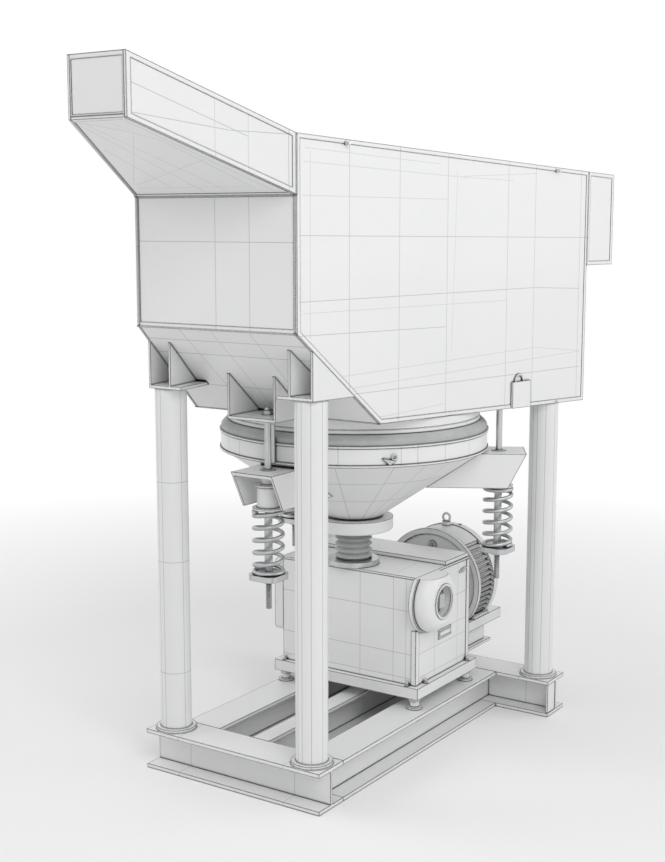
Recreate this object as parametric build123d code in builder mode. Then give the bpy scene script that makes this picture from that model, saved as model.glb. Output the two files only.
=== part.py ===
from build123d import *
import os
from math import atan2, cos, radians, sin, tan

# Laboratory jig: a trapezoidal hutch on four tube columns, with a spring-hung cone below it,
# driven up and down from a box with a motor. Millimetres. X runs from the feed chute to the
# discharge launder, Y to the left, Z up. The origin is on the floor, in the middle of the
# front beam's underside.

# base frame, rolled beams
beam_height = 100.0
beam_width = 100.0
beam_flange = 10.0
beam_web = 6.0
beam_overhang = 14.5
column_pitch = 872.0
left_beam_inset = 50.0
channel_width = 50.0
channel_y = -18.0
channel_web = 7.0

# columns
column_radius = 38.05
column_wall = 4.0
collar_radius = 49.0
collar_height = 8.0
column_inset = 1.0

# tank, chute and launder, outer faces of the plates; the field inside each edge flat is recessed
plate = 6.0
edge_flat = 10.0
field_depth = 1.0
tank_front_x = -86.0
tank_front_half = 228.4
tank_length = 1074.0
tank_flare = 10.3
rim_fall = 2.85
bottom_fall = 1.41
slope_length = 264.0
slope_rise = 222.0
wall_height = 426.0
chute_length = 359.0
chute_end_half = 78.4
chute_depth = 128.4
chute_rise = 144.5
weir_drop = 75.0
launder_length = 120.0
launder_depth = 248.0
screen_drop = 190.0
screen_bar = 8.0
screen_bars = 5
screen_depth = 30.0
screen_sheet = 3.0
screen_ledge = 20.0

# cone, ring and diaphragm below the tank, all round one upright axis
cone_x = 490.0
collar_inner = 285.0
collar_outer = 326.0
collar_depth = 28.0
ring_gap = 36.0
ring_radius = 350.0
ring_wall = 12.0
ring_height = 52.0
ring_bead = 3.0
ring_bead_height = 6.0
cone_rim_radius = 344.0
cone_depth = 188.0
cone_slope = 1.465
cone_wall = 5.0
boss_radius = 104.0
boss_height = 34.0
boss_edge = 7.0
diaphragm_radius = 346.0
diaphragm_roll = 26.0
diaphragm_wall = 6.0
diaphragm_lip = 20.0

# three spring arms round the cone
arm_angles = (180.0, 60.0, -60.0)
arm_reach = 446.0
arm_undercut = 46.0
arm_half_width = 60.0
arm_drop = 10.0
arm_depth = 90.0
arm_plate = 10.0
arm_web = 6.0
rod_circle = 378.0
rod_radius = 8.0
rod_clearance = 2.5
rod_tail = 74.0
rod_tail_radius = 6.5
sleeve_radius = 10.0
sleeve_clearance = 15.0
seat_width = 80.0
seat_corner = 20.0
seat_thickness = 14.0
seat_spigot_radius = 28.0
seat_spigot = 6.0
top_seat_radius = 38.0
top_seat_flange = 6.0
top_seat_body_radius = 27.0
top_seat_height = 62.0
top_seat_lip_radius = 31.0
nut_radius = 14.0
nut_height = 10.0
spring_radius = 35.0
wire_radius = 5.0
spring_height = 158.0
spring_turns = 5.5
seat_gap = 0.3

# brackets between tank and columns, and the front rod's hanger
bracket_rise = 79.0
bracket_front_x = -40.0
bracket_width = 97.0
bracket_plate = 8.0
gusset_plate = 6.0
gusset_inset = 30.0
hanger_front_x = 48.0
hanger_half_width = 70.0
hanger_plate = 8.0

# drive box on its sub-base
box_front_x = 440.0
box_length = 282.0
box_right_y = -222.0
box_width = 417.0
box_height = 280.0
box_wall = 8.0
lid_thickness = 6.0
strip_width = 128.0
strip_height = 11.0
strip_inset = 2.0
side_cover_depth = 28.0
side_cover_height = 200.0
side_cover_drop = 8.0
side_cover_corner = 16.0
sub_base_margin = 17.0
sub_base_height = 30.0
sub_base_rail = 45.0
foot_height = 30.0
foot_radius = 12.0
foot_flange_radius = 20.0
foot_flange = 6.0
foot_inset = 22.0
housing_drop = 64.0
housing_radius = 88.0
housing_flange = 12.0
housing_shoulder_radius = 82.0
housing_reach = 54.0
housing_nose_radius = 58.0
housing_bulge = 7.0
window_radius = 43.0
window_depth = 30.0
bellows_radius = 49.0
bellows_height = 80.0
bellows_fold = 8.0
bellows_folds = 5
bellows_wall = 2.5
bellows_flange_radius = 68.0
bellows_flange_height = 14.0
drive_rod_radius = 14.0
drive_rod_length = 134.0
drive_rod_clearance = 6.0

# motor on a bracket behind the box
motor_y = -78.0
motor_z = 345.0
motor_front_x = 770.0
motor_radius = 145.0
motor_length = 82.0
shield_radius = 150.0
shield_thickness = 14.0
shield_rim = 16.0
shield_recess = 6.0
fan_cover_length = 30.0
fan_cover_radius = 147.0
fan_cover_edge = 8.0
motor_foot_z = 250.0
fin_height = 11.0
fin_width = 4.0
fin_pitch = 14.0
fin_rows = 19
fin_gap_half_width = 92.0
shield_bosses = 8
shield_boss_radius = 11.0
shield_boss_circle = 104.0
bearing_cap_radius = 48.0
bearing_cap_length = 16.0
shaft_radius = 16.0
motor_plate_half_width = 130.0
motor_plate = 28.0
motor_plate_length = 220.0
motor_riser_length = 142.0
motor_riser_height = 46.0
motor_riser_half_width = 118.0
motor_lower_flange = 8.0
motor_lower_length = 160.0
eye_bolt_inset = 13.0
eye_bolt_radius = 11.0
eye_bolt_wire = 3.5
eye_bolt_collar = 12.0
eye_bolt_height = 12.0

# small fittings on the tank
gate_x = 667.0
gate_length = 76.0
gate_height = 68.0
gate_plate = 5.0
gate_loop_x = 30.0
gate_loop_radius = 17.0
gate_loop_wire = 2.5
pin_radius = 4.0
pin_length = 14.0
pin_drop = 9.0
pin_inset = 147.0

# derived values, with the heights stacked from the floor up
above_all = 2000.0
flare = tan(radians(tank_flare))
tank_back_x = tank_front_x + tank_length
slope_foot_x = tank_front_x + slope_length
slope_pitch = slope_rise / slope_length
launder_end_x = tank_back_x + launder_length
chute_end_x = tank_front_x - chute_length
box_back_x = box_front_x + box_length
box_base_z = beam_height + foot_height + sub_base_height
box_top_z = box_base_z + box_height + lid_thickness
bellows_base_z = box_top_z + bellows_flange_height
boss_base_z = bellows_base_z + bellows_height
boss_top_z = boss_base_z + boss_height
ring_base_z = boss_top_z + cone_depth
ring_top_z = ring_base_z + ring_height
collar_z = ring_top_z + ring_gap
bottom_foot_z = collar_z + collar_depth
slope_top_z = bottom_foot_z + slope_rise
rim_front_z = slope_top_z + wall_height
chute_floor_z = rim_front_z - chute_depth
arm_top_z = ring_base_z - arm_drop
arm_base_z = arm_top_z - arm_depth
spring_top_z = arm_base_z - top_seat_flange
spring_base_z = spring_top_z - spring_height
seat_z = spring_base_z - seat_thickness
rod_end_z = seat_z - rod_tail
bracket_top_z = bottom_foot_z + bracket_rise
housing_z = box_top_z - housing_drop


def half_width(x):
    return tank_front_half + (x - tank_front_x) * flare


def rim_z(x):
    return rim_front_z - (x - tank_front_x) * tan(radians(rim_fall))


def bottom_z(x):
    return bottom_foot_z - (x - slope_foot_x) * tan(radians(bottom_fall))


def slope_z(x):
    return slope_top_z - (x - tank_front_x) * slope_pitch


def slope_x(z):
    return tank_front_x + (slope_top_z - z) / slope_pitch


def plate_piece(plan, profile):
    # the plate fills an outline seen from above and an outline seen from the side
    with BuildPart() as piece:
        with BuildSketch(Plane.XY):
            with BuildLine():
                Polyline(*plan, close=True)
            make_face()
        extrude(amount=above_all)
        with BuildSketch(Plane.XZ):
            with BuildLine():
                Polyline(*profile, close=True)
            make_face()
        extrude(amount=above_all, both=True, mode=Mode.INTERSECT)
    return piece


def flared_strip(x_start, x_end, side, thickness=plate, inset=0.0):
    # a strip along the tank's side, seen from above; inset moves it in from the outer face
    slant = thickness / cos(radians(tank_flare))
    outer = [(x, side * (half_width(x) - inset)) for x in (x_start, x_end)]
    inner = [(x, side * (half_width(x) - inset - slant)) for x in (x_end, x_start)]
    return outer + inner


def between_sides(x_start, x_end):
    # the plan of what fits between the two tank sides
    slant = plate / cos(radians(tank_flare))
    left = [(x, half_width(x) - slant) for x in (x_start, x_end)]
    right = [(x, slant - half_width(x)) for x in (x_end, x_start)]
    return left + right


def recess(corners, outward):
    # the thin layer taken off a plate's outer face, inside the edge flat; corners lie on that face
    first, second = Vector(*corners[0]), Vector(*corners[1])
    face = Plane(first, x_dir=second - first, z_dir=outward)
    outline = [face.to_local_coords(Vector(*corner)) for corner in corners]
    with BuildPart() as layer:
        with BuildSketch(face):
            with BuildLine():
                Polyline(*[(point.X, point.Y) for point in outline], close=True)
            make_face()
            offset(amount=-edge_flat, kind=Kind.INTERSECTION, mode=Mode.REPLACE)
        extrude(amount=-field_depth)
    return layer.part


def save(piece, label):
    piece.part.label = label
    export_step(piece.part, f"parts/{label}.step")


os.makedirs("parts", exist_ok=True)


# base frame
def rolled_beam(plane, half_length, web_reach=0.0):
    # web_reach is how far the web runs on past the flanges at each end
    with BuildPart() as beam:
        with BuildSketch(plane):
            Rectangle(beam_width, beam_height)
            with Locations((beam_width / 2, 0), (-beam_width / 2, 0)):
                Rectangle(beam_width - beam_web, beam_height - 2 * beam_flange, mode=Mode.SUBTRACT)
        extrude(amount=half_length, both=True)
        with BuildSketch(plane):
            Rectangle(beam_web, beam_height - 2 * beam_flange)
        extrude(amount=half_length + web_reach, both=True)
    return beam


def cross_beam(x, half_length):
    return rolled_beam(Plane((x, 0, beam_height / 2), x_dir=(1, 0, 0), z_dir=(0, -1, 0)), half_length)


def long_beam(y):
    # flanges butt against the cross beams, the web is coped in to their webs
    plane = Plane((column_pitch / 2, y, beam_height / 2), x_dir=(0, 1, 0), z_dir=(1, 0, 0))
    return rolled_beam(plane, (column_pitch - beam_width) / 2, (beam_width - beam_web) / 2)


front_beam_half_length = half_width(0) + beam_overhang
base_front_beam = cross_beam(0, front_beam_half_length)
base_back_beam = cross_beam(column_pitch, half_width(column_pitch) + beam_overhang)
base_right_beam = long_beam(beam_width / 2 - front_beam_half_length)
base_left_beam = long_beam(front_beam_half_length - left_beam_inset - beam_width / 2)

with BuildPart() as base_middle_channel:
    with BuildSketch(Plane((column_pitch / 2, channel_y, beam_height / 2), x_dir=(0, 1, 0), z_dir=(1, 0, 0))):
        Rectangle(channel_width, beam_height)
        with Locations((-channel_web, 0)):
            Rectangle(channel_width, beam_height - 2 * beam_flange, mode=Mode.SUBTRACT)
    extrude(amount=(column_pitch - beam_width) / 2, both=True)

save(base_front_beam, "base_front_beam")
save(base_back_beam, "base_back_beam")
save(base_right_beam, "base_right_beam")
save(base_left_beam, "base_left_beam")
save(base_middle_channel, "base_middle_channel")


# columns
def column_y(x):
    # the column's outside is flush with the tank's side
    return half_width(x) - column_radius / cos(radians(tank_flare)) - column_inset


def column_pair(x, height):
    with BuildPart() as columns:
        with BuildSketch(Plane.XY.offset(beam_height)):
            with Locations((x, column_y(x)), (x, -column_y(x))):
                Circle(column_radius)
                Circle(column_radius - column_wall, mode=Mode.SUBTRACT)
        extrude(amount=height - beam_height)
        with BuildSketch(Plane.XY.offset(beam_height)):
            with Locations((x, column_y(x)), (x, -column_y(x))):
                Circle(collar_radius)
                Circle(column_radius - column_wall, mode=Mode.SUBTRACT)
        extrude(amount=collar_height)
    return columns


bottom_line = [(x, bottom_z(x)) for x in (slope_foot_x, tank_back_x)]
above_bottom = bottom_line + [(tank_back_x, above_all), (slope_foot_x, above_all)]

columns_front = column_pair(0, bracket_top_z - bracket_plate)
with BuildPart() as columns_back:
    add(column_pair(column_pitch, bottom_foot_z).part)
    with BuildSketch(Plane.XZ):
        with BuildLine():
            Polyline(*above_bottom, close=True)
        make_face()
    extrude(amount=above_all, both=True, mode=Mode.SUBTRACT)
save(columns_front, "columns_front")
save(columns_back, "columns_back")


# tank
slope_angle = atan2(slope_rise, slope_length)
slope_shift = plate / cos(slope_angle)
bottom_shift = plate / cos(radians(bottom_fall))
front_inner_x = tank_front_x + plate
# where the slope's inner face meets the front wall's and the bottom's
front_inner_z = slope_z(front_inner_x) + slope_shift
foot_inner_x = slope_foot_x + (slope_shift - bottom_shift) / (slope_pitch - tan(radians(bottom_fall)))
foot_inner_z = slope_z(foot_inner_x) + slope_shift
chute_angle = atan2(chute_rise, chute_length)
chute_shift = plate / cos(chute_angle)

side_profile = [
    (tank_front_x, rim_front_z),
    (tank_back_x, rim_z(tank_back_x)),
    (tank_back_x, bottom_z(tank_back_x)),
    (slope_foot_x, bottom_foot_z),
    (tank_front_x, slope_top_z),
]
front_profile = [
    (tank_front_x, slope_top_z),
    (front_inner_x, front_inner_z),
    (front_inner_x, chute_floor_z + chute_shift),
    (tank_front_x, chute_floor_z + chute_shift),
]
slope_profile = [
    (tank_front_x, slope_top_z),
    (slope_foot_x, bottom_foot_z),
    (foot_inner_x, foot_inner_z),
    (front_inner_x, front_inner_z),
]
bottom_profile = [
    (slope_foot_x, bottom_foot_z),
    (tank_back_x, bottom_z(tank_back_x)),
    (tank_back_x, bottom_z(tank_back_x) + bottom_shift),
    (foot_inner_x, foot_inner_z),
]
weir_z = rim_z(tank_back_x) - weir_drop
back_profile = [
    (tank_back_x, bottom_z(tank_back_x) + bottom_shift),
    (tank_back_x - plate, bottom_z(tank_back_x - plate) + bottom_shift),
    (tank_back_x - plate, weir_z),
    (tank_back_x, weir_z),
]
inside_tank = between_sides(tank_front_x, tank_back_x)


def side_corners(profile, side):
    return [(x, side * half_width(x), z) for x, z in profile]


def side_outward(side):
    return (-sin(radians(tank_flare)), side * cos(radians(tank_flare)), 0)


def tank_side(side):
    with BuildPart() as piece:
        add(plate_piece(flared_strip(tank_front_x, tank_back_x, side), side_profile).part)
        add(recess(side_corners(side_profile, side), side_outward(side)), mode=Mode.SUBTRACT)
    return piece


tank_side_left = tank_side(1)
tank_side_right = tank_side(-1)

front_top_z = chute_floor_z + chute_shift
front_corners = [
    (tank_front_x, side * tank_front_half, z)
    for side, z in ((-1, slope_top_z), (1, slope_top_z), (1, front_top_z), (-1, front_top_z))
]
with BuildPart() as tank_front_wall:
    add(plate_piece(inside_tank, front_profile).part)
    add(recess(front_corners, (-1, 0, 0)), mode=Mode.SUBTRACT)

tank_slope_plate = plate_piece(inside_tank, slope_profile)

back_base_z = bottom_z(tank_back_x)
back_top_z = rim_z(tank_back_x) - launder_depth
back_half = half_width(tank_back_x)
back_corners = [
    (tank_back_x, side * back_half, z)
    for side, z in ((-1, back_base_z), (1, back_base_z), (1, back_top_z), (-1, back_top_z))
]
with BuildPart() as tank_back_wall:
    add(plate_piece(inside_tank, back_profile).part)
    add(recess(back_corners, (1, 0, 0)), mode=Mode.SUBTRACT)

with BuildPart() as tank_bottom_plate:
    add(plate_piece(inside_tank, bottom_profile).part)
    with BuildSketch(Plane.XY):
        with Locations((cone_x, 0)):
            Circle(collar_inner)
    extrude(amount=above_all, mode=Mode.SUBTRACT)

with BuildPart() as tank_collar:
    with BuildSketch(Plane.XY.offset(collar_z)):
        with Locations((cone_x, 0)):
            Circle(collar_outer)
            Circle(collar_inner, mode=Mode.SUBTRACT)
    extrude(amount=bottom_foot_z - collar_z)
    with BuildSketch(Plane.XZ):
        with BuildLine():
            Polyline(*above_bottom, close=True)
        make_face()
    extrude(amount=above_all, both=True, mode=Mode.SUBTRACT)

save(tank_side_left, "tank_side_left")
save(tank_side_right, "tank_side_right")
save(tank_front_wall, "tank_front_wall")
save(tank_slope_plate, "tank_slope_plate")
save(tank_back_wall, "tank_back_wall")
save(tank_bottom_plate, "tank_bottom_plate")
save(tank_collar, "tank_collar")

# feed chute, narrowing to its raised end
chute_side_angle = atan2(tank_front_half - chute_end_half, chute_length)
chute_slant = plate / cos(chute_side_angle)
chute_side_profile = [
    (tank_front_x, chute_floor_z),
    (tank_front_x, rim_front_z),
    (chute_end_x, rim_front_z + chute_rise),
    (chute_end_x, chute_floor_z + chute_rise),
]
chute_floor_profile = [
    (tank_front_x, chute_floor_z),
    (tank_front_x, chute_floor_z + chute_shift),
    (chute_end_x, chute_floor_z + chute_rise + chute_shift),
    (chute_end_x, chute_floor_z + chute_rise),
]
end_inner_x = chute_end_x + plate
end_rise = chute_rise - plate * chute_rise / chute_length
chute_end_profile = [
    (chute_end_x, chute_floor_z + chute_rise + chute_shift),
    (end_inner_x, chute_floor_z + end_rise + chute_shift),
    (end_inner_x, rim_front_z + end_rise),
    (chute_end_x, rim_front_z + chute_rise),
]
chute_plan = [
    (tank_front_x, tank_front_half - chute_slant),
    (chute_end_x, chute_end_half - chute_slant),
    (chute_end_x, chute_slant - chute_end_half),
    (tank_front_x, chute_slant - tank_front_half),
]


def chute_strip(side):
    return [
        (tank_front_x, side * tank_front_half),
        (chute_end_x, side * chute_end_half),
        (chute_end_x, side * (chute_end_half - chute_slant)),
        (tank_front_x, side * (tank_front_half - chute_slant)),
    ]


def chute_side_corners(side):
    halves = {tank_front_x: tank_front_half, chute_end_x: chute_end_half}
    return [(x, side * halves[x], z) for x, z in chute_side_profile]


chute_side_outward = (-sin(chute_side_angle), cos(chute_side_angle), 0)
chute_floor_corners = [
    (tank_front_x, -tank_front_half, chute_floor_z),
    (tank_front_x, tank_front_half, chute_floor_z),
    (chute_end_x, chute_end_half, chute_floor_z + chute_rise),
    (chute_end_x, -chute_end_half, chute_floor_z + chute_rise),
]
chute_end_corners = [
    (chute_end_x, side * chute_end_half, z + chute_rise)
    for side, z in ((-1, chute_floor_z), (1, chute_floor_z), (1, rim_front_z), (-1, rim_front_z))
]

with BuildPart() as chute_sides:
    add(plate_piece(chute_strip(1), chute_side_profile).part)
    add(recess(chute_side_corners(1), chute_side_outward), mode=Mode.SUBTRACT)
    mirror(about=Plane.XZ)
with BuildPart() as chute_floor:
    add(plate_piece(chute_plan, chute_floor_profile).part)
    add(recess(chute_floor_corners, (-sin(chute_angle), 0, -cos(chute_angle))), mode=Mode.SUBTRACT)
with BuildPart() as chute_end_plate:
    add(plate_piece(chute_plan, chute_end_profile).part)
    add(recess(chute_end_corners, (-1, 0, 0)), mode=Mode.SUBTRACT)
save(chute_sides, "chute_sides")
save(chute_floor, "chute_floor")
save(chute_end_plate, "chute_end_plate")

# discharge launder behind the weir
launder_base_z = rim_z(tank_back_x) - launder_depth
launder_profile = [
    (tank_back_x, launder_base_z),
    (launder_end_x, launder_base_z),
    (launder_end_x, rim_z(launder_end_x)),
    (tank_back_x, rim_z(tank_back_x)),
]
launder_inner_x = launder_end_x - plate
launder_floor_profile = [
    (tank_back_x, launder_base_z),
    (launder_inner_x, launder_base_z),
    (launder_inner_x, launder_base_z + plate),
    (tank_back_x, launder_base_z + plate),
]
launder_end_profile = [
    (launder_inner_x, launder_base_z),
    (launder_end_x, launder_base_z),
    (launder_end_x, rim_z(launder_end_x)),
    (launder_inner_x, rim_z(launder_inner_x)),
]
inside_launder = between_sides(tank_back_x, launder_end_x)
launder_end_half = half_width(launder_end_x)
launder_end_top_z = rim_z(launder_end_x)
launder_end_corners = [
    (launder_end_x, side * launder_end_half, z)
    for side, z in (
        (-1, launder_base_z),
        (1, launder_base_z),
        (1, launder_end_top_z),
        (-1, launder_end_top_z),
    )
]
with BuildPart() as launder_sides:
    add(plate_piece(flared_strip(tank_back_x, launder_end_x, 1), launder_profile).part)
    add(recess(side_corners(launder_profile, 1), side_outward(1)), mode=Mode.SUBTRACT)
    mirror(about=Plane.XZ)
launder_floor = plate_piece(inside_launder, launder_floor_profile)
with BuildPart() as launder_end_plate:
    add(plate_piece(inside_launder, launder_end_profile).part)
    add(recess(launder_end_corners, (1, 0, 0)), mode=Mode.SUBTRACT)
save(launder_sides, "launder_sides")
save(launder_floor, "launder_floor")
save(launder_end_plate, "launder_end_plate")

# screen deck on ledges inside the tank
screen_z = rim_z(tank_back_x) - screen_drop
screen_front_x = front_inner_x + seat_gap
screen_back_x = tank_back_x - plate - seat_gap
screen_slant = plate / cos(radians(tank_flare)) + seat_gap


def screen_half(x):
    return half_width(x) - screen_slant


screen_plan = [
    (screen_front_x, screen_half(screen_front_x)),
    (screen_back_x, screen_half(screen_back_x)),
    (screen_back_x, -screen_half(screen_back_x)),
    (screen_front_x, -screen_half(screen_front_x)),
]
screen_hole_plan = [
    (screen_front_x + screen_ledge, screen_half(screen_front_x) - screen_ledge),
    (screen_back_x - screen_ledge, screen_half(screen_back_x) - screen_ledge),
    (screen_back_x - screen_ledge, screen_ledge - screen_half(screen_back_x)),
    (screen_front_x + screen_ledge, screen_ledge - screen_half(screen_front_x)),
]
with BuildPart() as screen_deck:
    with BuildSketch(Plane.XY.offset(screen_z)):
        with BuildLine():
            Polyline(*screen_plan, close=True)
        make_face()
    extrude(amount=screen_depth)
    with BuildSketch(Plane.XY.offset(screen_z)):
        with BuildLine():
            Polyline(*screen_hole_plan, close=True)
        make_face()
        with Locations(((screen_front_x + screen_back_x) / 2, 0)):
            with GridLocations((screen_back_x - screen_front_x) / (screen_bars + 1), 1, screen_bars, 1):
                Rectangle(screen_bar, above_all, mode=Mode.SUBTRACT)
    extrude(amount=screen_depth - screen_sheet, mode=Mode.SUBTRACT)
save(screen_deck, "screen_deck")

# cone, ring and boss, turned round one axis
cone_axis = Plane((cone_x, 0, 0), x_dir=(1, 0, 0), z_dir=(0, -1, 0))
cone_line = Axis((cone_x, 0, 0), (0, 0, 1))
cone_foot_radius = cone_rim_radius - (ring_base_z - boss_top_z) * cone_slope
cone_shift = cone_wall * (1 + cone_slope**2) ** 0.5


def turned(points):
    with BuildPart() as piece:
        with BuildSketch(cone_axis):
            with BuildLine():
                Polyline(*points, close=True)
            make_face()
        revolve(axis=cone_line)
    return piece


cone_shell = turned([
    (cone_foot_radius, boss_top_z),
    (cone_rim_radius, ring_base_z),
    (cone_rim_radius - cone_shift, ring_base_z),
    (cone_foot_radius - cone_shift, boss_top_z),
])
band_radius = ring_radius - ring_bead
cone_ring = turned([
    (ring_radius, ring_base_z),
    (ring_radius, ring_base_z + ring_bead_height),
    (band_radius, ring_base_z + ring_bead_height),
    (band_radius, ring_top_z - ring_bead_height),
    (ring_radius, ring_top_z - ring_bead_height),
    (ring_radius, ring_top_z),
    (ring_radius - ring_wall, ring_top_z),
    (ring_radius - ring_wall, ring_base_z + ring_wall),
    (cone_rim_radius - cone_shift, ring_base_z + ring_wall),
    (cone_rim_radius - cone_shift, ring_base_z),
])
with BuildPart() as cone_boss:
    with BuildSketch(Plane.XY.offset(boss_base_z)):
        with Locations((cone_x, 0)):
            Circle(boss_radius)
    extrude(amount=boss_height)
    fillet(cone_boss.edges().group_by(Axis.Z)[0], boss_edge)
save(cone_shell, "cone_shell")
save(cone_ring, "cone_ring")
save(cone_boss, "cone_boss")

# rolled rubber diaphragm from the tank's collar to the ring
roll_x = diaphragm_radius - diaphragm_roll
roll_z = collar_z - diaphragm_roll
inner_roll = diaphragm_roll - diaphragm_wall
with BuildPart() as diaphragm:
    with BuildSketch(cone_axis):
        with BuildLine():
            Line((roll_x - diaphragm_lip, collar_z), (roll_x, collar_z))
            CenterArc((roll_x, roll_z), diaphragm_roll, 0, 90)
            Line((diaphragm_radius, roll_z), (diaphragm_radius, ring_top_z))
            Line((diaphragm_radius, ring_top_z), (diaphragm_radius - diaphragm_wall, ring_top_z))
            Line((diaphragm_radius - diaphragm_wall, ring_top_z), (diaphragm_radius - diaphragm_wall, roll_z))
            CenterArc((roll_x, roll_z), inner_roll, 0, 90)
            Line((roll_x, roll_z + inner_roll), (roll_x - diaphragm_lip, roll_z + inner_roll))
            Line((roll_x - diaphragm_lip, roll_z + inner_roll), (roll_x - diaphragm_lip, collar_z))
        make_face()
    revolve(axis=cone_line)
save(diaphragm, "diaphragm")

# cone arms: channels with sloping open ends, each with a spring seat on a tube
rod_hole = rod_radius + rod_clearance
top_seat_lip_z = spring_top_z + top_seat_height - top_seat_flange
top_seat_steps = (
    (top_seat_radius, spring_top_z, spring_top_z + top_seat_flange),
    (top_seat_body_radius, spring_top_z, spring_top_z + top_seat_height),
    (top_seat_lip_radius, top_seat_lip_z, spring_top_z + top_seat_height),
    (rod_hole + arm_web, spring_top_z, arm_top_z - arm_plate),
)


def arm_piece(angle):
    out = (cos(radians(angle)), sin(radians(angle)), 0)
    across = (sin(radians(angle)), -cos(radians(angle)), 0)
    side_view = Plane((cone_x, 0, 0), x_dir=out, z_dir=across)
    rod_point = (cone_x + rod_circle * out[0], rod_circle * out[1])
    with BuildPart() as arm:
        with BuildSketch(side_view):
            with BuildLine():
                Polyline(
                    (boss_radius, arm_base_z),
                    (arm_reach - arm_undercut, arm_base_z),
                    (arm_reach, arm_top_z),
                    (boss_radius, arm_top_z),
                    close=True,
                )
            make_face()
        extrude(amount=arm_half_width, both=True)
        with BuildSketch(side_view):
            with Locations((arm_reach / 2, arm_base_z)):
                Rectangle(2 * arm_reach, 2 * (arm_depth - arm_plate))
        extrude(amount=arm_half_width - arm_web, both=True, mode=Mode.SUBTRACT)
        for radius, base_z, top_z in top_seat_steps:
            with BuildSketch(Plane.XY.offset(base_z)):
                with Locations(rod_point):
                    Circle(radius)
            extrude(amount=top_z - base_z)
        with BuildSketch(Plane.XY.offset(spring_top_z)):
            with Locations(rod_point):
                Circle(rod_hole)
        extrude(amount=arm_depth + 2 * arm_plate, mode=Mode.SUBTRACT)
        with BuildSketch(cone_axis):
            with BuildLine():
                Polyline(
                    (0, boss_top_z),
                    (cone_foot_radius, boss_top_z),
                    (cone_rim_radius, ring_base_z),
                    (0, ring_base_z),
                    close=True,
                )
            make_face()
        revolve(axis=cone_line, mode=Mode.SUBTRACT)
    return arm


arm_front = arm_piece(arm_angles[0])
arm_back_left = arm_piece(arm_angles[1])
arm_back_right = arm_piece(arm_angles[2])
save(arm_front, "arm_front")
save(arm_back_left, "arm_back_left")
save(arm_back_right, "arm_back_right")

# hanger rods with their lower spring seats and nuts
rod_points = [
    (cone_x + rod_circle * cos(radians(a)), rod_circle * sin(radians(a))) for a in arm_angles
]
hanger_top_z = bottom_foot_z + hanger_plate
rod_tops = [hanger_top_z + nut_height + rod_radius] + [bottom_z(x + rod_radius) for x, y in rod_points[1:]]
with BuildPart() as hanger_rods:
    for point, top in zip(rod_points, rod_tops):
        rod_steps = (
            (rod_tail_radius, rod_end_z, seat_z),
            (rod_radius, seat_z, top),
            (sleeve_radius, seat_z, spring_top_z - sleeve_clearance),
            (seat_spigot_radius, seat_z, spring_base_z + seat_spigot),
        )
        for radius, base_z, top_z in rod_steps:
            with BuildSketch(Plane.XY.offset(base_z)):
                with Locations(point):
                    Circle(radius)
            extrude(amount=top_z - base_z)
        with BuildSketch(Plane.XY.offset(seat_z)):
            with Locations(point):
                RectangleRounded(seat_width, seat_width, seat_corner)
        extrude(amount=seat_thickness)
        with BuildSketch(Plane.XY.offset(seat_z - nut_height)):
            with Locations(point):
                RegularPolygon(nut_radius, 6)
        extrude(amount=nut_height)
    with BuildSketch(Plane.XY.offset(hanger_top_z)):
        with Locations(rod_points[0]):
            RegularPolygon(nut_radius, 6)
    extrude(amount=nut_height)
save(hanger_rods, "hanger_rods")

# coil springs between the seats
spring_lift = spring_height - 2 * seat_gap - 2 * wire_radius
with BuildPart() as springs:
    for x, y in rod_points:
        start = (x, y, spring_base_z + seat_gap + wire_radius)
        with BuildLine() as coil:
            Helix(spring_lift / spring_turns, spring_lift, spring_radius, center=start)
        with BuildSketch(Plane(origin=coil.line @ 0, z_dir=coil.line % 0)):
            Circle(wire_radius)
        sweep(path=coil.line, is_frenet=True)
save(springs, "springs")

# column brackets under the sloping plate, two gussets on a cap plate
def slope_gusset(x, base_z):
    return [(x, base_z), (x, slope_z(x)), (slope_x(base_z), base_z)]


def slope_shelf(x, top_z, thickness):
    base_z = top_z - thickness
    return [(x, top_z), (slope_x(top_z), top_z), (slope_x(base_z), base_z), (x, base_z)]


bracket_end_x = slope_x(bracket_top_z - bracket_plate)
inner_gusset = bracket_width - gusset_plate - gusset_inset
with BuildPart() as column_brackets:
    outer_strip = flared_strip(bracket_front_x, bracket_end_x, 1, gusset_plate)
    inner_strip = flared_strip(bracket_front_x, bracket_end_x, 1, gusset_plate, inner_gusset)
    cap_strip = flared_strip(bracket_front_x, bracket_end_x, 1, bracket_width)
    add(plate_piece(outer_strip, slope_gusset(bracket_front_x, bracket_top_z)).part)
    add(plate_piece(inner_strip, slope_gusset(bracket_front_x, bracket_top_z)).part)
    add(plate_piece(cap_strip, slope_shelf(bracket_front_x, bracket_top_z, bracket_plate)).part)
    mirror(about=Plane.XZ)
save(column_brackets, "column_brackets")

# hanger of the front rod, two gussets on a level plate
hanger_end_x = slope_x(bottom_foot_z)
hanger_plan = [
    (hanger_front_x, hanger_half_width),
    (hanger_end_x, hanger_half_width),
    (hanger_end_x, -hanger_half_width),
    (hanger_front_x, -hanger_half_width),
]
hanger_strip = [
    (hanger_front_x, hanger_half_width),
    (hanger_end_x, hanger_half_width),
    (hanger_end_x, hanger_half_width - gusset_plate),
    (hanger_front_x, hanger_half_width - gusset_plate),
]
with BuildPart() as rod_hanger:
    add(plate_piece(hanger_strip, slope_gusset(hanger_front_x, hanger_top_z)).part)
    mirror(about=Plane.XZ)
    add(plate_piece(hanger_plan, slope_shelf(hanger_front_x, hanger_top_z, hanger_plate)).part)
    with Locations((rod_points[0][0], 0, hanger_top_z)):
        Hole(rod_radius, depth=2 * hanger_plate)
save(rod_hanger, "rod_hanger")

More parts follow.
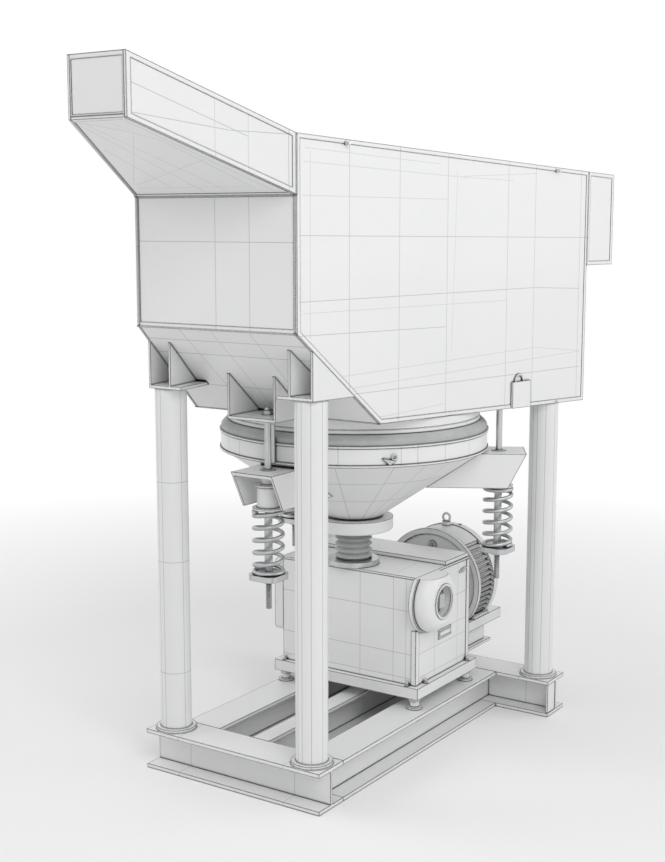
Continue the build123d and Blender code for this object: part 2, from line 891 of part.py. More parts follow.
# gate plate with its loop, low on the tank's right side
gate_top_z = bottom_z(gate_x) + gate_height
gate_slant = gate_plate / cos(radians(tank_flare))
gate_profile = [
    (gate_x, bottom_z(gate_x)),
    (gate_x + gate_length, bottom_z(gate_x + gate_length)),
    (gate_x + gate_length, gate_top_z),
    (gate_x, gate_top_z),
]
side_dir = (cos(radians(tank_flare)), -sin(radians(tank_flare)), 0)
side_out = (-sin(radians(tank_flare)), -cos(radians(tank_flare)), 0)
loop_x = gate_x + gate_loop_x
loop_shift = gate_slant / 2
loop_centre = (loop_x, -half_width(loop_x) - loop_shift, gate_top_z)
gate_strip = flared_strip(gate_x, gate_x + gate_length, -1, gate_plate, -gate_slant)
with BuildPart() as gate:
    add(plate_piece(gate_strip, gate_profile).part)
    with BuildLine(Plane(loop_centre, x_dir=side_dir, z_dir=side_out)) as loop:
        CenterArc((0, 0), gate_loop_radius, 0, 180)
    with BuildSketch(Plane(origin=loop.line @ 0, z_dir=loop.line % 0)):
        Circle(gate_loop_wire)
    sweep(path=loop.line)
save(gate, "gate_plate")

# lifting pins below the rim, near both ends of both sides
with BuildPart() as rim_pins:
    for x in (tank_front_x + pin_inset, tank_back_x - pin_inset):
        point = (x, -half_width(x), rim_z(x) - pin_drop)
        with BuildSketch(Plane(point, x_dir=side_dir, z_dir=side_out)):
            Circle(pin_radius)
        extrude(amount=pin_length)
    mirror(about=Plane.XZ)
save(rim_pins, "rim_pins")

# drive box: an open-topped case, its lid and the raised strip at the back
box_middle = (box_front_x + box_length / 2, box_right_y + box_width / 2)
with BuildPart() as drive_box:
    with BuildSketch(Plane.XY.offset(box_base_z)):
        with Locations(box_middle):
            Rectangle(box_length, box_width)
    extrude(amount=box_height)
    offset(amount=-box_wall, openings=drive_box.faces().sort_by(Axis.Z)[-1])
save(drive_box, "drive_box")

with BuildPart() as drive_box_lid:
    with BuildSketch(Plane.XY.offset(box_base_z + box_height)):
        with Locations(box_middle):
            Rectangle(box_length, box_width)
        with Locations((cone_x, 0)):
            Circle(drive_rod_radius + drive_rod_clearance, mode=Mode.SUBTRACT)
    extrude(amount=lid_thickness)
save(drive_box_lid, "drive_box_lid")

with BuildPart() as drive_box_strip:
    with BuildSketch(Plane.XY.offset(box_top_z)):
        with Locations((box_back_x - strip_width / 2, box_middle[1])):
            Rectangle(strip_width - 2 * strip_inset, box_width - 2 * strip_inset)
    extrude(amount=strip_height)
save(drive_box_strip, "drive_box_strip")

box_left_y = box_right_y + box_width
side_cover_z = box_top_z - side_cover_drop - side_cover_height / 2
with BuildPart() as drive_box_side_cover:
    with BuildSketch(Plane((box_middle[0], box_left_y, side_cover_z), x_dir=(1, 0, 0), z_dir=(0, 1, 0))):
        RectangleRounded(box_length, side_cover_height, side_cover_corner)
    extrude(amount=side_cover_depth)
save(drive_box_side_cover, "drive_box_side_cover")

sub_length = box_length + 2 * sub_base_margin
sub_width = box_width + 2 * sub_base_margin
with BuildPart() as sub_base:
    with BuildSketch(Plane.XY.offset(box_base_z - sub_base_height)):
        with Locations(box_middle):
            Rectangle(sub_length, sub_width)
            Rectangle(sub_length - 2 * sub_base_rail, sub_width - 2 * sub_base_rail, mode=Mode.SUBTRACT)
    extrude(amount=sub_base_height)
    with BuildSketch(Plane.XY.offset(beam_height)):
        with Locations(box_middle):
            with GridLocations(sub_length - 2 * foot_inset, sub_width - 2 * foot_inset, 2, 2):
                Circle(foot_flange_radius)
    extrude(amount=foot_flange)
    with BuildSketch(Plane.XY.offset(beam_height)):
        with Locations(box_middle):
            with GridLocations(sub_length - 2 * foot_inset, sub_width - 2 * foot_inset, 2, 2):
                Circle(foot_radius)
    extrude(amount=box_base_z - sub_base_height - beam_height)
save(sub_base, "sub_base")

# bearing housing on the box's right face: a flange cut level with the lid, a dome and a window
housing_axis = Axis((cone_x, box_right_y, housing_z), (0, -1, 0))
housing_plane = Plane((cone_x, box_right_y, housing_z), x_dir=(1, 0, 0), z_dir=(0, 0, 1))
window_floor = housing_reach - window_depth
dome_middle_radius = (housing_shoulder_radius + housing_nose_radius) / 2
dome_middle_depth = (housing_flange + housing_reach) / 2
with BuildPart() as bearing_housing:
    with BuildSketch(housing_plane):
        with BuildLine():
            Polyline(
                (0, 0),
                (housing_radius, 0),
                (housing_radius, -housing_flange),
                (housing_shoulder_radius, -housing_flange),
            )
            ThreePointArc(
                (housing_shoulder_radius, -housing_flange),
                (dome_middle_radius + housing_bulge, -dome_middle_depth - housing_bulge),
                (housing_nose_radius, -housing_reach),
            )
            Polyline(
                (housing_nose_radius, -housing_reach),
                (window_radius, -housing_reach),
                (window_radius, -window_floor),
                (0, -window_floor),
                (0, 0),
            )
        make_face()
    revolve(axis=housing_axis)
    with BuildSketch(Plane.XY.offset(box_top_z)):
        with Locations((cone_x, box_right_y)):
            Rectangle(4 * housing_radius, 4 * housing_radius)
    extrude(amount=housing_radius, mode=Mode.SUBTRACT)
save(bearing_housing, "bearing_housing")

# bellows and drive rod under the boss
fold_height = (boss_base_z - bellows_base_z) / bellows_folds


def bellows_line(shift):
    line = [(bellows_radius - bellows_fold - shift, bellows_base_z)]
    for n in range(bellows_folds):
        low = bellows_base_z + n * fold_height
        line.append((bellows_radius - shift, low + fold_height / 2))
        line.append((bellows_radius - bellows_fold - shift, low + fold_height))
    return line


bellows = turned(bellows_line(0) + bellows_line(bellows_wall)[::-1])
save(bellows, "bellows")

with BuildPart() as bellows_flange:
    with BuildSketch(Plane.XY.offset(box_top_z)):
        with Locations((cone_x, 0)):
            Circle(bellows_flange_radius)
            Circle(drive_rod_radius + drive_rod_clearance, mode=Mode.SUBTRACT)
    extrude(amount=bellows_flange_height)
save(bellows_flange, "bellows_flange")

with BuildPart() as drive_rod:
    with BuildSketch(Plane.XY.offset(boss_base_z)):
        with Locations((cone_x, 0)):
            Circle(drive_rod_radius)
    extrude(amount=-drive_rod_length)
save(drive_rod, "drive_rod")

# motor: body with level cooling fins, end shield and fan cover, all cut flat for the foot
motor_body_x = motor_front_x + shield_thickness
motor_back_x = motor_body_x + motor_length
across_x = Plane((0, motor_y, motor_z), x_dir=(0, 1, 0), z_dir=(1, 0, 0))
below_foot = motor_foot_z - motor_z - shield_radius
core_radius = motor_radius - fin_height
eye_collar_z = motor_z + motor_radius + eye_bolt_height
eye_point = (motor_back_x - eye_bolt_inset, motor_y, eye_collar_z + eye_bolt_radius)

with BuildPart() as motor_body:
    with BuildSketch(across_x.offset(motor_body_x)):
        with GridLocations(1, fin_pitch, 1, fin_rows):
            Rectangle(2 * motor_radius, fin_width)
        Rectangle(2 * fin_gap_half_width, 2 * motor_radius)
        Circle(motor_radius, mode=Mode.INTERSECT)
        Circle(core_radius)
        with Locations((0, below_foot)):
            Rectangle(2 * shield_radius, 2 * shield_radius, mode=Mode.SUBTRACT)
    extrude(amount=motor_length)
    with BuildSketch(Plane.XY.offset(motor_z + core_radius)):
        with Locations(eye_point[:2]):
            Circle(eye_bolt_collar)
    extrude(amount=fin_height + eye_bolt_height)
    with Locations(Plane(eye_point, z_dir=(1, 0, 0))):
        Torus(eye_bolt_radius, eye_bolt_wire)

with BuildPart() as motor_shield:
    with BuildSketch(across_x.offset(motor_front_x)):
        Circle(shield_radius)
        with Locations((0, below_foot)):
            Rectangle(2 * shield_radius, 2 * shield_radius, mode=Mode.SUBTRACT)
    extrude(amount=shield_thickness)
    with BuildSketch(across_x.offset(motor_front_x)):
        Circle(shield_radius - shield_rim)
        with Locations((0, below_foot + shield_rim)):
            Rectangle(2 * shield_radius, 2 * shield_radius, mode=Mode.SUBTRACT)
    extrude(amount=shield_recess, mode=Mode.SUBTRACT)
    with BuildSketch(across_x.offset(motor_front_x)):
        Circle(bearing_cap_radius)
        with PolarLocations(shield_boss_circle, shield_bosses):
            Circle(shield_boss_radius)
        with Locations((0, below_foot + shield_rim)):
            Rectangle(2 * shield_radius, 2 * shield_radius, mode=Mode.SUBTRACT)
    extrude(amount=shield_recess)
    with BuildSketch(across_x.offset(motor_front_x)):
        Circle(bearing_cap_radius)
    extrude(amount=-bearing_cap_length)
    with BuildSketch(across_x.offset(motor_front_x)):
        Circle(shaft_radius)
    extrude(amount=box_back_x - motor_front_x)

with BuildPart() as motor_fan_cover:
    with BuildSketch(across_x.offset(motor_back_x)):
        Circle(fan_cover_radius)
        with Locations((0, below_foot)):
            Rectangle(2 * shield_radius, 2 * shield_radius, mode=Mode.SUBTRACT)
    extrude(amount=fan_cover_length)
    fillet(motor_fan_cover.edges().group_by(Axis.X)[-1], fan_cover_edge)
save(motor_body, "motor_body")
save(motor_shield, "motor_shield")
save(motor_fan_cover, "motor_fan_cover")

# motor bracket, held on the box's rear face
plate_base_z = motor_foot_z - motor_plate
riser_base_z = plate_base_z - motor_riser_height
lower_base_z = riser_base_z - motor_lower_flange


def bracket_slab(length, half_width_y, base_z, height):
    with BuildPart() as slab:
        with BuildSketch(Plane.XY.offset(base_z)):
            with Locations((box_back_x + length / 2, motor_y)):
                Rectangle(length, 2 * half_width_y)
        extrude(amount=height)
    return slab.part


with BuildPart() as motor_bracket:
    add(bracket_slab(motor_plate_length, motor_plate_half_width, plate_base_z, motor_plate))
    add(bracket_slab(motor_riser_length, motor_riser_half_width, riser_base_z, motor_riser_height))
    add(bracket_slab(motor_lower_length, motor_plate_half_width, lower_base_z, motor_lower_flange))
save(motor_bracket, "motor_bracket")
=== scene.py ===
import math

import bpy
import numpy as np
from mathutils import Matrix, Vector


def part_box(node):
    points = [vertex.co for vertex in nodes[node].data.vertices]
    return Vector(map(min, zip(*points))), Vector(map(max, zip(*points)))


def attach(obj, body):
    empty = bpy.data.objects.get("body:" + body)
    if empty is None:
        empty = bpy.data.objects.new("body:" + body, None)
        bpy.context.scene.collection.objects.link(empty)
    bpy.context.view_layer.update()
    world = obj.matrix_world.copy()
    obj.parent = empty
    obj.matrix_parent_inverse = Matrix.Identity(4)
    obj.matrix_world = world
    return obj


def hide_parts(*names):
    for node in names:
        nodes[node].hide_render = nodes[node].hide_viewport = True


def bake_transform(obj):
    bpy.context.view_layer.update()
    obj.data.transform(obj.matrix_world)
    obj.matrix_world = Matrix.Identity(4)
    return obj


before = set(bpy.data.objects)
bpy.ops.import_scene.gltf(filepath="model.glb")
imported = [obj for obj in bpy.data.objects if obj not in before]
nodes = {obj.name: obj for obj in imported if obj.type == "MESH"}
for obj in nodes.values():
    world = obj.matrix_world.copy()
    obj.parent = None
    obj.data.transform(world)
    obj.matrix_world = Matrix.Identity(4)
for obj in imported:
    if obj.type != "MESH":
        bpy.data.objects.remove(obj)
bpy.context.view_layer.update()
print("frame loaded:", len(nodes), "nodes")


# places and sizes read off the solids, in metres
def span(node):
    low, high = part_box(node)
    return np.array(low), np.array(high)


def middle(node):
    low, high = span(node)
    return (low + high) / 2


def radiusOf(node):
    low, high = span(node)
    return (high[0] - low[0]) / 2


coneX = middle("cone_ring")[0]
coneFoot = np.array([coneX, 0, 0])
ringRadius = radiusOf("cone_ring")
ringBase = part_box("cone_ring")[0].z
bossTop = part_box("cone_boss")[1].z
rimRadius = radiusOf("cone_shell")
springLow, springHigh = span("springs")
bellowsLow, bellowsHigh = span("bellows")
skirtLow, skirtHigh = span("diaphragm")
boxLow, boxHigh = span("drive_box")
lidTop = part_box("drive_box_lid")[1].z
subLow, subHigh = span("sub_base")
armLow, armHigh = span("arm_front")
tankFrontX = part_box("tank_front_wall")[0].x
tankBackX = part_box("tank_back_wall")[1].x
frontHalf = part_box("chute_sides")[1].y
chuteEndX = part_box("chute_sides")[0].x
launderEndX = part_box("launder_sides")[1].x
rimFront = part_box("tank_side_left")[1].z
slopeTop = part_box("tank_front_wall")[0].z
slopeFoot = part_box("tank_slope_plate")[0].z
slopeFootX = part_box("tank_bottom_plate")[0].x
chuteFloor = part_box("chute_floor")[0].z
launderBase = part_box("launder_floor")[0].z
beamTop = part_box("base_front_beam")[1].z
columnPitch = middle("columns_back")[0]
flare = (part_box("tank_side_left")[1].y - frontHalf) / (tankBackX - tankFrontX)
rimFall = (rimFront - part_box("launder_sides")[1].z) / (tankBackX - tankFrontX)
bottomFall = (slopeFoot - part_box("tank_back_wall")[0].z) / (tankBackX - slopeFootX)
plate = 0.006
chuteEndHalf = 0.0784
chuteRise = 0.1445


def halfWidth(x):
    return frontHalf + (x - tankFrontX) * flare


def rimZ(x):
    return rimFront - (x - tankFrontX) * rimFall


def bottomZ(x):
    return slopeFoot - (x - slopeFootX) * bottomFall


def slopeX(z):
    return tankFrontX + (slopeTop - z) * (slopeFootX - tankFrontX) / (slopeTop - slopeFoot)


# shader maths: an expression on wires adds its own Math nodes
def wireMaths(operation, flipped=False):
    def method(self, other):
        values = (other, self) if flipped else (self, other)
        return self.net.maths(operation, *values)
    return method


class Wire:
    def __init__(self, net, socket):
        self.net, self.socket = net, socket

    __add__, __radd__ = wireMaths("ADD"), wireMaths("ADD", True)
    __sub__, __rsub__ = wireMaths("SUBTRACT"), wireMaths("SUBTRACT", True)
    __mul__, __truediv__ = wireMaths("MULTIPLY"), wireMaths("DIVIDE")

    def __abs__(self):
        return self.net.maths("ABSOLUTE", self)


class Net:
    def __init__(self, tree):
        self.tree = tree
        self.tree.nodes.clear()

    def node(self, kind, sockets={}, settings={}, result=0):
        # the settings go in first, then the values or links of the sockets
        made = self.tree.nodes.new(kind)
        for key, value in settings.items():
            setattr(made, key, value)
        for key, value in sockets.items():
            if isinstance(value, Wire):
                self.tree.links.new(value.socket, made.inputs[key])
            else:
                made.inputs[key].default_value = value
        return Wire(self, made.outputs[result] if made.outputs else None)

    def maths(self, operation, *values):
        return self.node("ShaderNodeMath", dict(enumerate(values)), {"operation": operation})

    def clamp(self, value):
        return self.node("ShaderNodeMath", {0: value, 1: 0.0}, {"operation": "ADD", "use_clamp": True})

    def most(self, wires):
        mask = wires[0]
        for wire in wires[1:]:
            mask = self.maths("MAXIMUM", mask, wire)
        return mask

    def mix(self, factor, first, second):
        settings = {"data_type": "RGBA", "clamp_factor": True}
        return self.node("ShaderNodeMix", {0: factor, 6: first, 7: second}, settings, 2)

    def split(self, vector):
        parts = self.node("ShaderNodeSeparateXYZ", {0: vector})
        return [Wire(self, socket) for socket in parts.socket.node.outputs]

    def place(self):
        return self.node("ShaderNodeTexCoord", result="Object")

    def noise(self, vector, scale, detail=3.0, rough=0.5):
        sockets = {"Vector": vector, "Scale": scale, "Detail": detail, "Roughness": rough}
        return self.node("ShaderNodeTexNoise", sockets)


look = {
    "paint": (0.80, 0.805, 0.80, 1),
    "framePaint": (0.77, 0.775, 0.77, 1),
    "drivePaint": (0.79, 0.795, 0.79, 1),
    "motorPaint": (0.74, 0.745, 0.74, 1),
    "shade": (0.70, 0.71, 0.71, 1),
    # near black for the dark edge lines and for painted shade in creases
    "edgeLineAndShade": (0.022, 0.022, 0.024, 1),
    # dark grey for the scribe lines of the plates and for the painted shading lines of the columns
    "scribeAndShadingLine": (0.30, 0.31, 0.32, 1),
    "brightSteel": (0.60, 0.61, 0.62, 1),
    "springSteel": (0.50, 0.505, 0.51, 1),
    "screenSteel": (0.40, 0.405, 0.41, 1),
    "stain": (0.42, 0.425, 0.43, 1),
    "rubber": (0.40, 0.41, 0.41, 1),
    "dust": (0.55, 0.555, 0.55, 1),
    "edgeReach": 0.0042, "steelEdgeReach": 0.0016, "edgeFloor": 0.015, "edgeGain": 18,
    "creaseReach": 0.007, "creaseOpen": 0.78, "creaseGain": 4, "samples": 6,
    "scribeWidth": 0.0011, "scribeStrength": 0.6, "faintShare": 0.55,
}


def edgeMask(net, reach):
    # one minus the dot product of the rounded and the plain normal, raised to a crisp line
    rounded = net.node("ShaderNodeBevel", {"Radius": reach}, {"samples": look["samples"]})
    plain = net.node("ShaderNodeNewGeometry", result="Normal")
    same = net.node("ShaderNodeVectorMath", {0: rounded, 1: plain}, {"operation": "DOT_PRODUCT"}, "Value")
    return net.clamp((1 - same - look["edgeFloor"]) * look["edgeGain"])


def creaseShadeMask(net):
    # painted shade in creases and corners: open air within reach of the surface, one in the open and about a
    # half in a corner
    sockets, settings = {"Distance": look["creaseReach"]}, {"samples": look["samples"]}
    air = net.node("ShaderNodeAmbientOcclusion", sockets, settings, "AO")
    return net.clamp((look["creaseOpen"] - air) * look["creaseGain"])


def seenMask(net):
    # one on rays from the camera, also by way of a mirror or glass
    path = net.node("ShaderNodeLightPath")
    kinds = ("Is Camera Ray", "Is Glossy Ray", "Is Transmission Ray")
    return net.most([Wire(net, path.socket.node.outputs[kind]) for kind in kinds])


def newObject(name, data):
    made = bpy.data.objects.new(name, data)
    bpy.context.scene.collection.objects.link(made)
    return made


def newMaterial(name):
    material = bpy.data.materials.new(name)
    material.use_nodes = True
    return material, Net(material.node_tree)


def finishMaterial(net, height, strength, depth, sockets):
    # the bump, the shader and the output
    bump = {"Strength": strength, "Distance": depth, "Height": height}
    sockets["Normal"] = net.node("ShaderNodeBump", bump)
    shader = net.node("ShaderNodeBsdfPrincipled", sockets)
    net.node("ShaderNodeOutputMaterial", {"Surface": shader})


def covering(names, material):
    # puts a material on solids, their names in one string
    for name in names.split():
        nodes[name].data.materials.clear()
        nodes[name].data.materials.append(material)
    return material


def paintMaterial(names, name, colour, lines=None):
    # satin paint: a slow change of tone, orange peel, dark bare edges, painted shade in creases, ruled scribe
    # and shading lines
    material, net = newMaterial(name)
    place = net.place()
    tone = net.noise(place, scale=2.3, detail=4.0)
    fine = net.noise(place, scale=55.0, detail=5.0, rough=0.6)
    peel = net.noise(place, scale=520.0, detail=1.0)
    edge = edgeMask(net, look["edgeReach"])
    base = net.mix(net.clamp(tone * 0.5 + fine * 0.25 - 0.1), look[colour], look["shade"])
    if lines:
        # ruled lines: scribe lines on the plates, painted shading lines on the columns
        base = net.mix(lines(net, net.split(place)) * look["scribeStrength"], base, look["scribeAndShadingLine"])
    # dark edge lines, and painted shade where the surface sits in a crease or corner
    base = net.mix(net.most([edge, creaseShadeMask(net)]), base, look["edgeLineAndShade"])
    finishMaterial(net, peel * 0.5 + fine * 0.5, 0.25, 0.0003, {
        "Base Color": base, "Roughness": net.clamp(0.36 + fine * 0.16 + edge * 0.2), "Coat Weight": 0.12,
    })
    return covering(names, material)


def steelMaterial(names, name, rough, turnedScale):
    # bare steel: fine turning marks across Z, faint stains, darker edges and painted shade in creases
    material, net = newMaterial(name)
    place = net.place()
    x, y, z = net.split(place)
    stretched = net.node("ShaderNodeCombineXYZ", {"X": x * 12, "Y": y * 12, "Z": z * turnedScale})
    marks = net.noise(stretched, scale=1.0, detail=2.0)
    stain = net.noise(place, scale=14.0, detail=5.0, rough=0.62)
    edge = edgeMask(net, look["steelEdgeReach"])
    base = net.mix(net.clamp(stain * 0.9 - 0.2), look[name], look["stain"])
    # dark edges, and painted shade in creases and corners
    base = net.mix(net.most([edge, creaseShadeMask(net)]) * 0.9, base, look["edgeLineAndShade"])
    finishMaterial(net, marks, 0.35, 0.0002, {
        "Base Color": base, "Metallic": 0.85, "Roughness": net.clamp(rough + stain * 0.16),
    })
    return covering(names, material)


def rubberMaterial(names, name):
    # matt rubber: mould grain, pale dust and painted shade in creases
    material, net = newMaterial(name)
    place = net.place()
    grain = net.noise(place, scale=900.0, detail=2.0)
    dust = net.noise(place, scale=22.0, detail=5.0, rough=0.65)
    base = net.mix(net.clamp(dust * 1.4 - 0.5), look[name], look["dust"])
    # painted shade in creases and corners
    base = net.mix(creaseShadeMask(net), base, look["edgeLineAndShade"])
    finishMaterial(net, grain, 0.4, 0.0003, {"Base Color": base, "Roughness": net.clamp(0.55 + dust * 0.25)})
    return covering(names, material)


# scribe lines of the plates: uprights and levels run right across, the others are (from, from, to, to)
tankRuling = {
    "uprights": (0.075, 0.240, 0.410, 0.643, 0.756, 0.956),
    "strong": (
        (-0.080, 1.311, 1.100, 1.297), (-0.080, 1.169, 0.760, 1.172), (0.760, 1.172, 0.960, 1.163),
        (-0.080, 1.096, 0.410, 1.090), (0.090, 0.955, 0.970, 0.952),
    ),
    "faint": (
        (-0.064, 1.467, 0.439, 1.447), (0.439, 1.447, 0.663, 1.442), (-0.061, 1.496, 0.380, 1.475),
        (0.465, 1.448, 0.758, 1.462), (-0.068, 1.396, 0.411, 1.393), (-0.066, 1.144, 0.644, 1.144),
        (0.057, 0.998, 0.764, 1.017), (0.764, 1.017, 0.967, 0.995), (0.090, 0.969, 0.967, 0.994),
        (0.173, 0.894, 0.405, 0.903), (0.444, 1.462, 0.430, 1.028), (-0.045, 1.490, -0.045, 1.086),
    ),
}
frontRuling = {"uprights": (-0.100, -0.005), "levels": (1.296,)}
slopeRuling = {"uprights": (-0.095, 0.014, 0.105), "levels": (1.070, 1.035, 0.950)}
chuteSideRuling = {
    "uprights": (-0.103,),
    "strong": (
        (-0.436, 1.610, -0.193, 1.514), (-0.436, 1.552, -0.233, 1.525), (-0.233, 1.525, -0.105, 1.522),
    ),
    "faint": ((-0.265, 1.590, -0.265, 1.470), (-0.193, 1.560, -0.193, 1.440)),
}
chuteFloorRuling = {
    "strong": (
        (-0.315, 0.108, -0.123, 0.082), (-0.428, 0.074, -0.099, 0.007), (-0.419, 0.055, -0.106, -0.058),
        (-0.431, 0.066, -0.380, -0.034), (-0.380, -0.034, -0.340, -0.079), (-0.340, -0.079, -0.116, -0.142),
        (-0.430, -0.059, -0.103, -0.181),
    ),
    "faint": (
        (-0.428, -0.008, -0.386, -0.041), (-0.139, 0.176, -0.256, -0.117), (-0.126, 0.182, -0.125, -0.136),
        (-0.380, -0.037, -0.139, 0.183),
    ),
}
frontBeamRuling = {"uprights": (-0.157, 0.157)}
backBeamRuling = {"uprights": (-0.329, 0.329)}
lidRuling = {"strong": ((0.461, -0.152, 0.573, -0.145),)}
boxRuling = {
    "across": (0.050, -0.053, -0.155, -0.193), "along": (0.538, 0.660), "levels": (0.355, 0.241, 0.177),
    "besidePlate": (0.625, 0.281, 0.722, 0.281),
}
coneTurns, coneRings = (25.4, 49.5, 64.0, 77.0, 87.0, 93.0, 103.0, 116.0, 130.5, 154.6, 180.0), (0.645, 0.706)
bandTurns = (206.8, 232.0, 239.2, 252.7, 268.2, 158.3, 147.6)
# painted shading lines of the round columns: turns of the lines along them, and rings on the left ones
tubeShadingRuling = {
    "turns": (158.0, 179.2, 255.7, 292.9), "rightTurns": (213.5,), "leftRings": (0.723, 0.527, 0.249),
}


def ruledLine(net, distance):
    # one where the distance is under half the width of a line, falling to nothing over the next half
    return net.clamp(2 - abs(distance) / (look["scribeWidth"] / 2))


def ruledLines(net, value, places):
    return [ruledLine(net, value - place) for place in places]


def inside(net, value, low, high, soft=0.001):
    # one between low and high
    return net.clamp((value - low) / soft) * net.clamp((high - value) / soft)


def segmentLine(net, across, up, ends):
    # distance from the line: the cross product of the offset and its direction; kept between its ends
    length = math.dist(ends[:2], ends[2:])
    runX, runY = (ends[2] - ends[0]) / length, (ends[3] - ends[1]) / length
    right, rise = across - ends[0], up - ends[1]
    along = right * runX + rise * runY
    return ruledLine(net, right * runY - rise * runX) * inside(net, along, 0.0, length)


def panelLines(ruling, first, second):
    # a plate's lines, ruled on two of the axes
    def lines(net, axes):
        across, up = axes[first], axes[second]
        masks = ruledLines(net, across, ruling.get("uprights", ()))
        masks += ruledLines(net, up, ruling.get("levels", ()))
        masks += [segmentLine(net, across, up, ends) for ends in ruling.get("strong", ())]
        faint = [segmentLine(net, across, up, ends) for ends in ruling.get("faint", ())]
        if faint:
            masks.append(net.most(faint) * look["faintShare"])
        return net.most(masks)
    return lines


def boxLines(net, axes):
    x, y, z = axes
    masks = ruledLines(net, y, boxRuling["across"]) + ruledLines(net, x, boxRuling["along"])
    masks += ruledLines(net, z, boxRuling["levels"])
    return net.most(masks + [segmentLine(net, x, z, boxRuling["besidePlate"])])


def spokeLines(net, x, y, turns):
    # lines along a round body: the distance from a plane through its axis
    turns = [math.radians(turn) for turn in turns]
    return net.most([ruledLine(net, x * math.sin(turn) - y * math.cos(turn)) for turn in turns])


def coneLines(turns, rings=()):
    def lines(net, axes):
        x, y, z = axes
        return net.most([spokeLines(net, x - coneX, y, turns)] + ruledLines(net, z, rings))
    return lines


def tubeShadingLines(net, axes):
    # each column's own middle is taken off first
    # then painted shading lines along it, one more on the right columns, and rings on the left ones
    x, y, z = axes
    back = net.maths("GREATER_THAN", x, columnPitch / 2)
    middleY = back * (columnBackY - columnFrontY) + columnFrontY
    across = y - net.maths("SIGN", y) * middleY
    along = x - back * columnPitch
    rings = net.most(ruledLines(net, z, tubeShadingRuling["leftRings"]))
    return net.most([
        spokeLines(net, along, across, tubeShadingRuling["turns"]),
        spokeLines(net, along, across, tubeShadingRuling["rightTurns"]) * net.maths("LESS_THAN", y, 0.0),
        rings * net.maths("GREATER_THAN", y, 0.0),
    ])


columnSize = {"radius": 0.03805, "collar": 0.049, "collarHeight": 0.008}
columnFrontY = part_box("columns_front")[1].y - columnSize["collar"]
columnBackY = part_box("columns_back")[1].y - columnSize["collar"]

paintMaterial("tank_side_left tank_side_right", "tankPaint", "paint", panelLines(tankRuling, 0, 2))
paintMaterial("tank_front_wall tank_back_wall", "frontPaint", "paint", panelLines(frontRuling, 1, 2))
paintMaterial("tank_slope_plate", "slopePaint", "paint", panelLines(slopeRuling, 1, 2))
paintMaterial("chute_sides", "chuteSidePaint", "paint", panelLines(chuteSideRuling, 0, 2))
paintMaterial("chute_floor", "chuteFloorPaint", "paint", panelLines(chuteFloorRuling, 0, 1))
plainPaint = paintMaterial("""
    chute_end_plate launder_sides launder_floor launder_end_plate tank_bottom_plate tank_collar gate_plate
""", "plainPaint", "paint")
framePaint = paintMaterial("""
    base_right_beam base_left_beam base_middle_channel column_brackets rod_hanger sub_base
""", "framePaint", "framePaint")
paintMaterial("base_front_beam", "frontBeamPaint", "framePaint", panelLines(frontBeamRuling, 1, 2))
paintMaterial("base_back_beam", "backBeamPaint", "framePaint", panelLines(backBeamRuling, 1, 2))
paintMaterial("columns_front columns_back", "tubePaint", "framePaint", tubeShadingLines)
conePaint = paintMaterial("cone_shell", "conePaint", "paint", coneLines(coneTurns, coneRings))
paintMaterial("cone_ring", "bandPaint", "drivePaint", coneLines(bandTurns))
paintMaterial("drive_box", "boxPaint", "drivePaint", boxLines)
paintMaterial("drive_box_lid", "lidPaint", "drivePaint", panelLines(lidRuling, 0, 1))
drivePaint = paintMaterial("""
    cone_boss arm_front arm_back_left arm_back_right drive_box_strip drive_box_side_cover bearing_housing
""", "drivePaint", "drivePaint")
motorPaint = paintMaterial(
    "motor_body motor_shield motor_fan_cover motor_bracket", "motorPaint", "motorPaint")
brightSteel = steelMaterial("hanger_rods drive_rod rim_pins bellows_flange", "brightSteel", 0.26, 900.0)
springSteel = steelMaterial("springs", "springSteel", 0.34, 300.0)
screenSteel = steelMaterial("screen_deck", "screenSteel", 0.42, 40.0)
rubber = rubberMaterial("diaphragm bellows", "rubber")
print("materials on", sum(len(node.data.materials) == 1 for node in nodes.values()), "nodes")


# directions: the feed chute is at the front
upward, rightward, forward, backward = (0, 0, 1), (0, -1, 0), (-1, 0, 0), (1, 0, 0)


# surfaces: a shape is a pair, its points and a list of arrays of faces
def gridShape(points, closed=False):
    # points[i, j] runs along i and round j; each cell is a face
    # the last row joins the first, or fans to a middle point close the ends
    rows, columns = points.shape[:2]
    i, j = np.meshgrid(np.arange(rows if closed else rows - 1), np.arange(columns), indexing="ij")
    nextI, nextJ = (i + 1) % rows, (j + 1) % columns
    cells = np.stack([i * columns + j, i * columns + nextJ, nextI * columns + nextJ, nextI * columns + j], -1)
    verts = points.reshape(-1, 3)
    faces = [cells.reshape(-1, 4)]
    if not closed:
        here = np.arange(columns)
        after = (here + 1) % columns
        first, last = np.full(columns, len(verts)), np.full(columns, len(verts) + 1)
        top = (rows - 1) * columns
        verts = np.vstack([verts, points[0].mean(0), points[-1].mean(0)])
        faces.append(np.stack([first, after, here], -1))
        faces.append(np.stack([last, top + here, top + after], -1))
    return verts, faces


def basis(along):
    # two vectors square to a direction, and that direction, right-handed
    along = np.array(along, float) / np.linalg.norm(along)
    helper = np.array([0.0, 0, 1]) if abs(along[2]) < 0.9 else np.array([1.0, 0, 0])
    first = np.cross(helper, along)
    first = first / np.linalg.norm(first)
    return first, np.cross(along, first), along


def fullTurn(steps):
    return np.linspace(0, 2 * np.pi, steps, endpoint=False)


def spokes(turn, first=(1, 0, 0), second=(0, 1, 0)):
    # directions at the turns: cosine * first + sine * second
    turn = np.asarray(turn, float)[..., None]
    return np.cos(turn) * np.array(first) + np.sin(turn) * np.array(second)


def turnedShape(profile, centre, along, steps, closed=False):
    # each profile point (radius, height) is carried round the axis: centre + radius * outward + height * axis
    first, second, axis = basis(along)
    outward = spokes(fullTurn(steps), first, second)
    profile = np.array(profile, float)
    points = profile[:, 0, None, None] * outward + profile[:, 1, None, None] * axis + np.array(centre)
    return gridShape(points, closed)


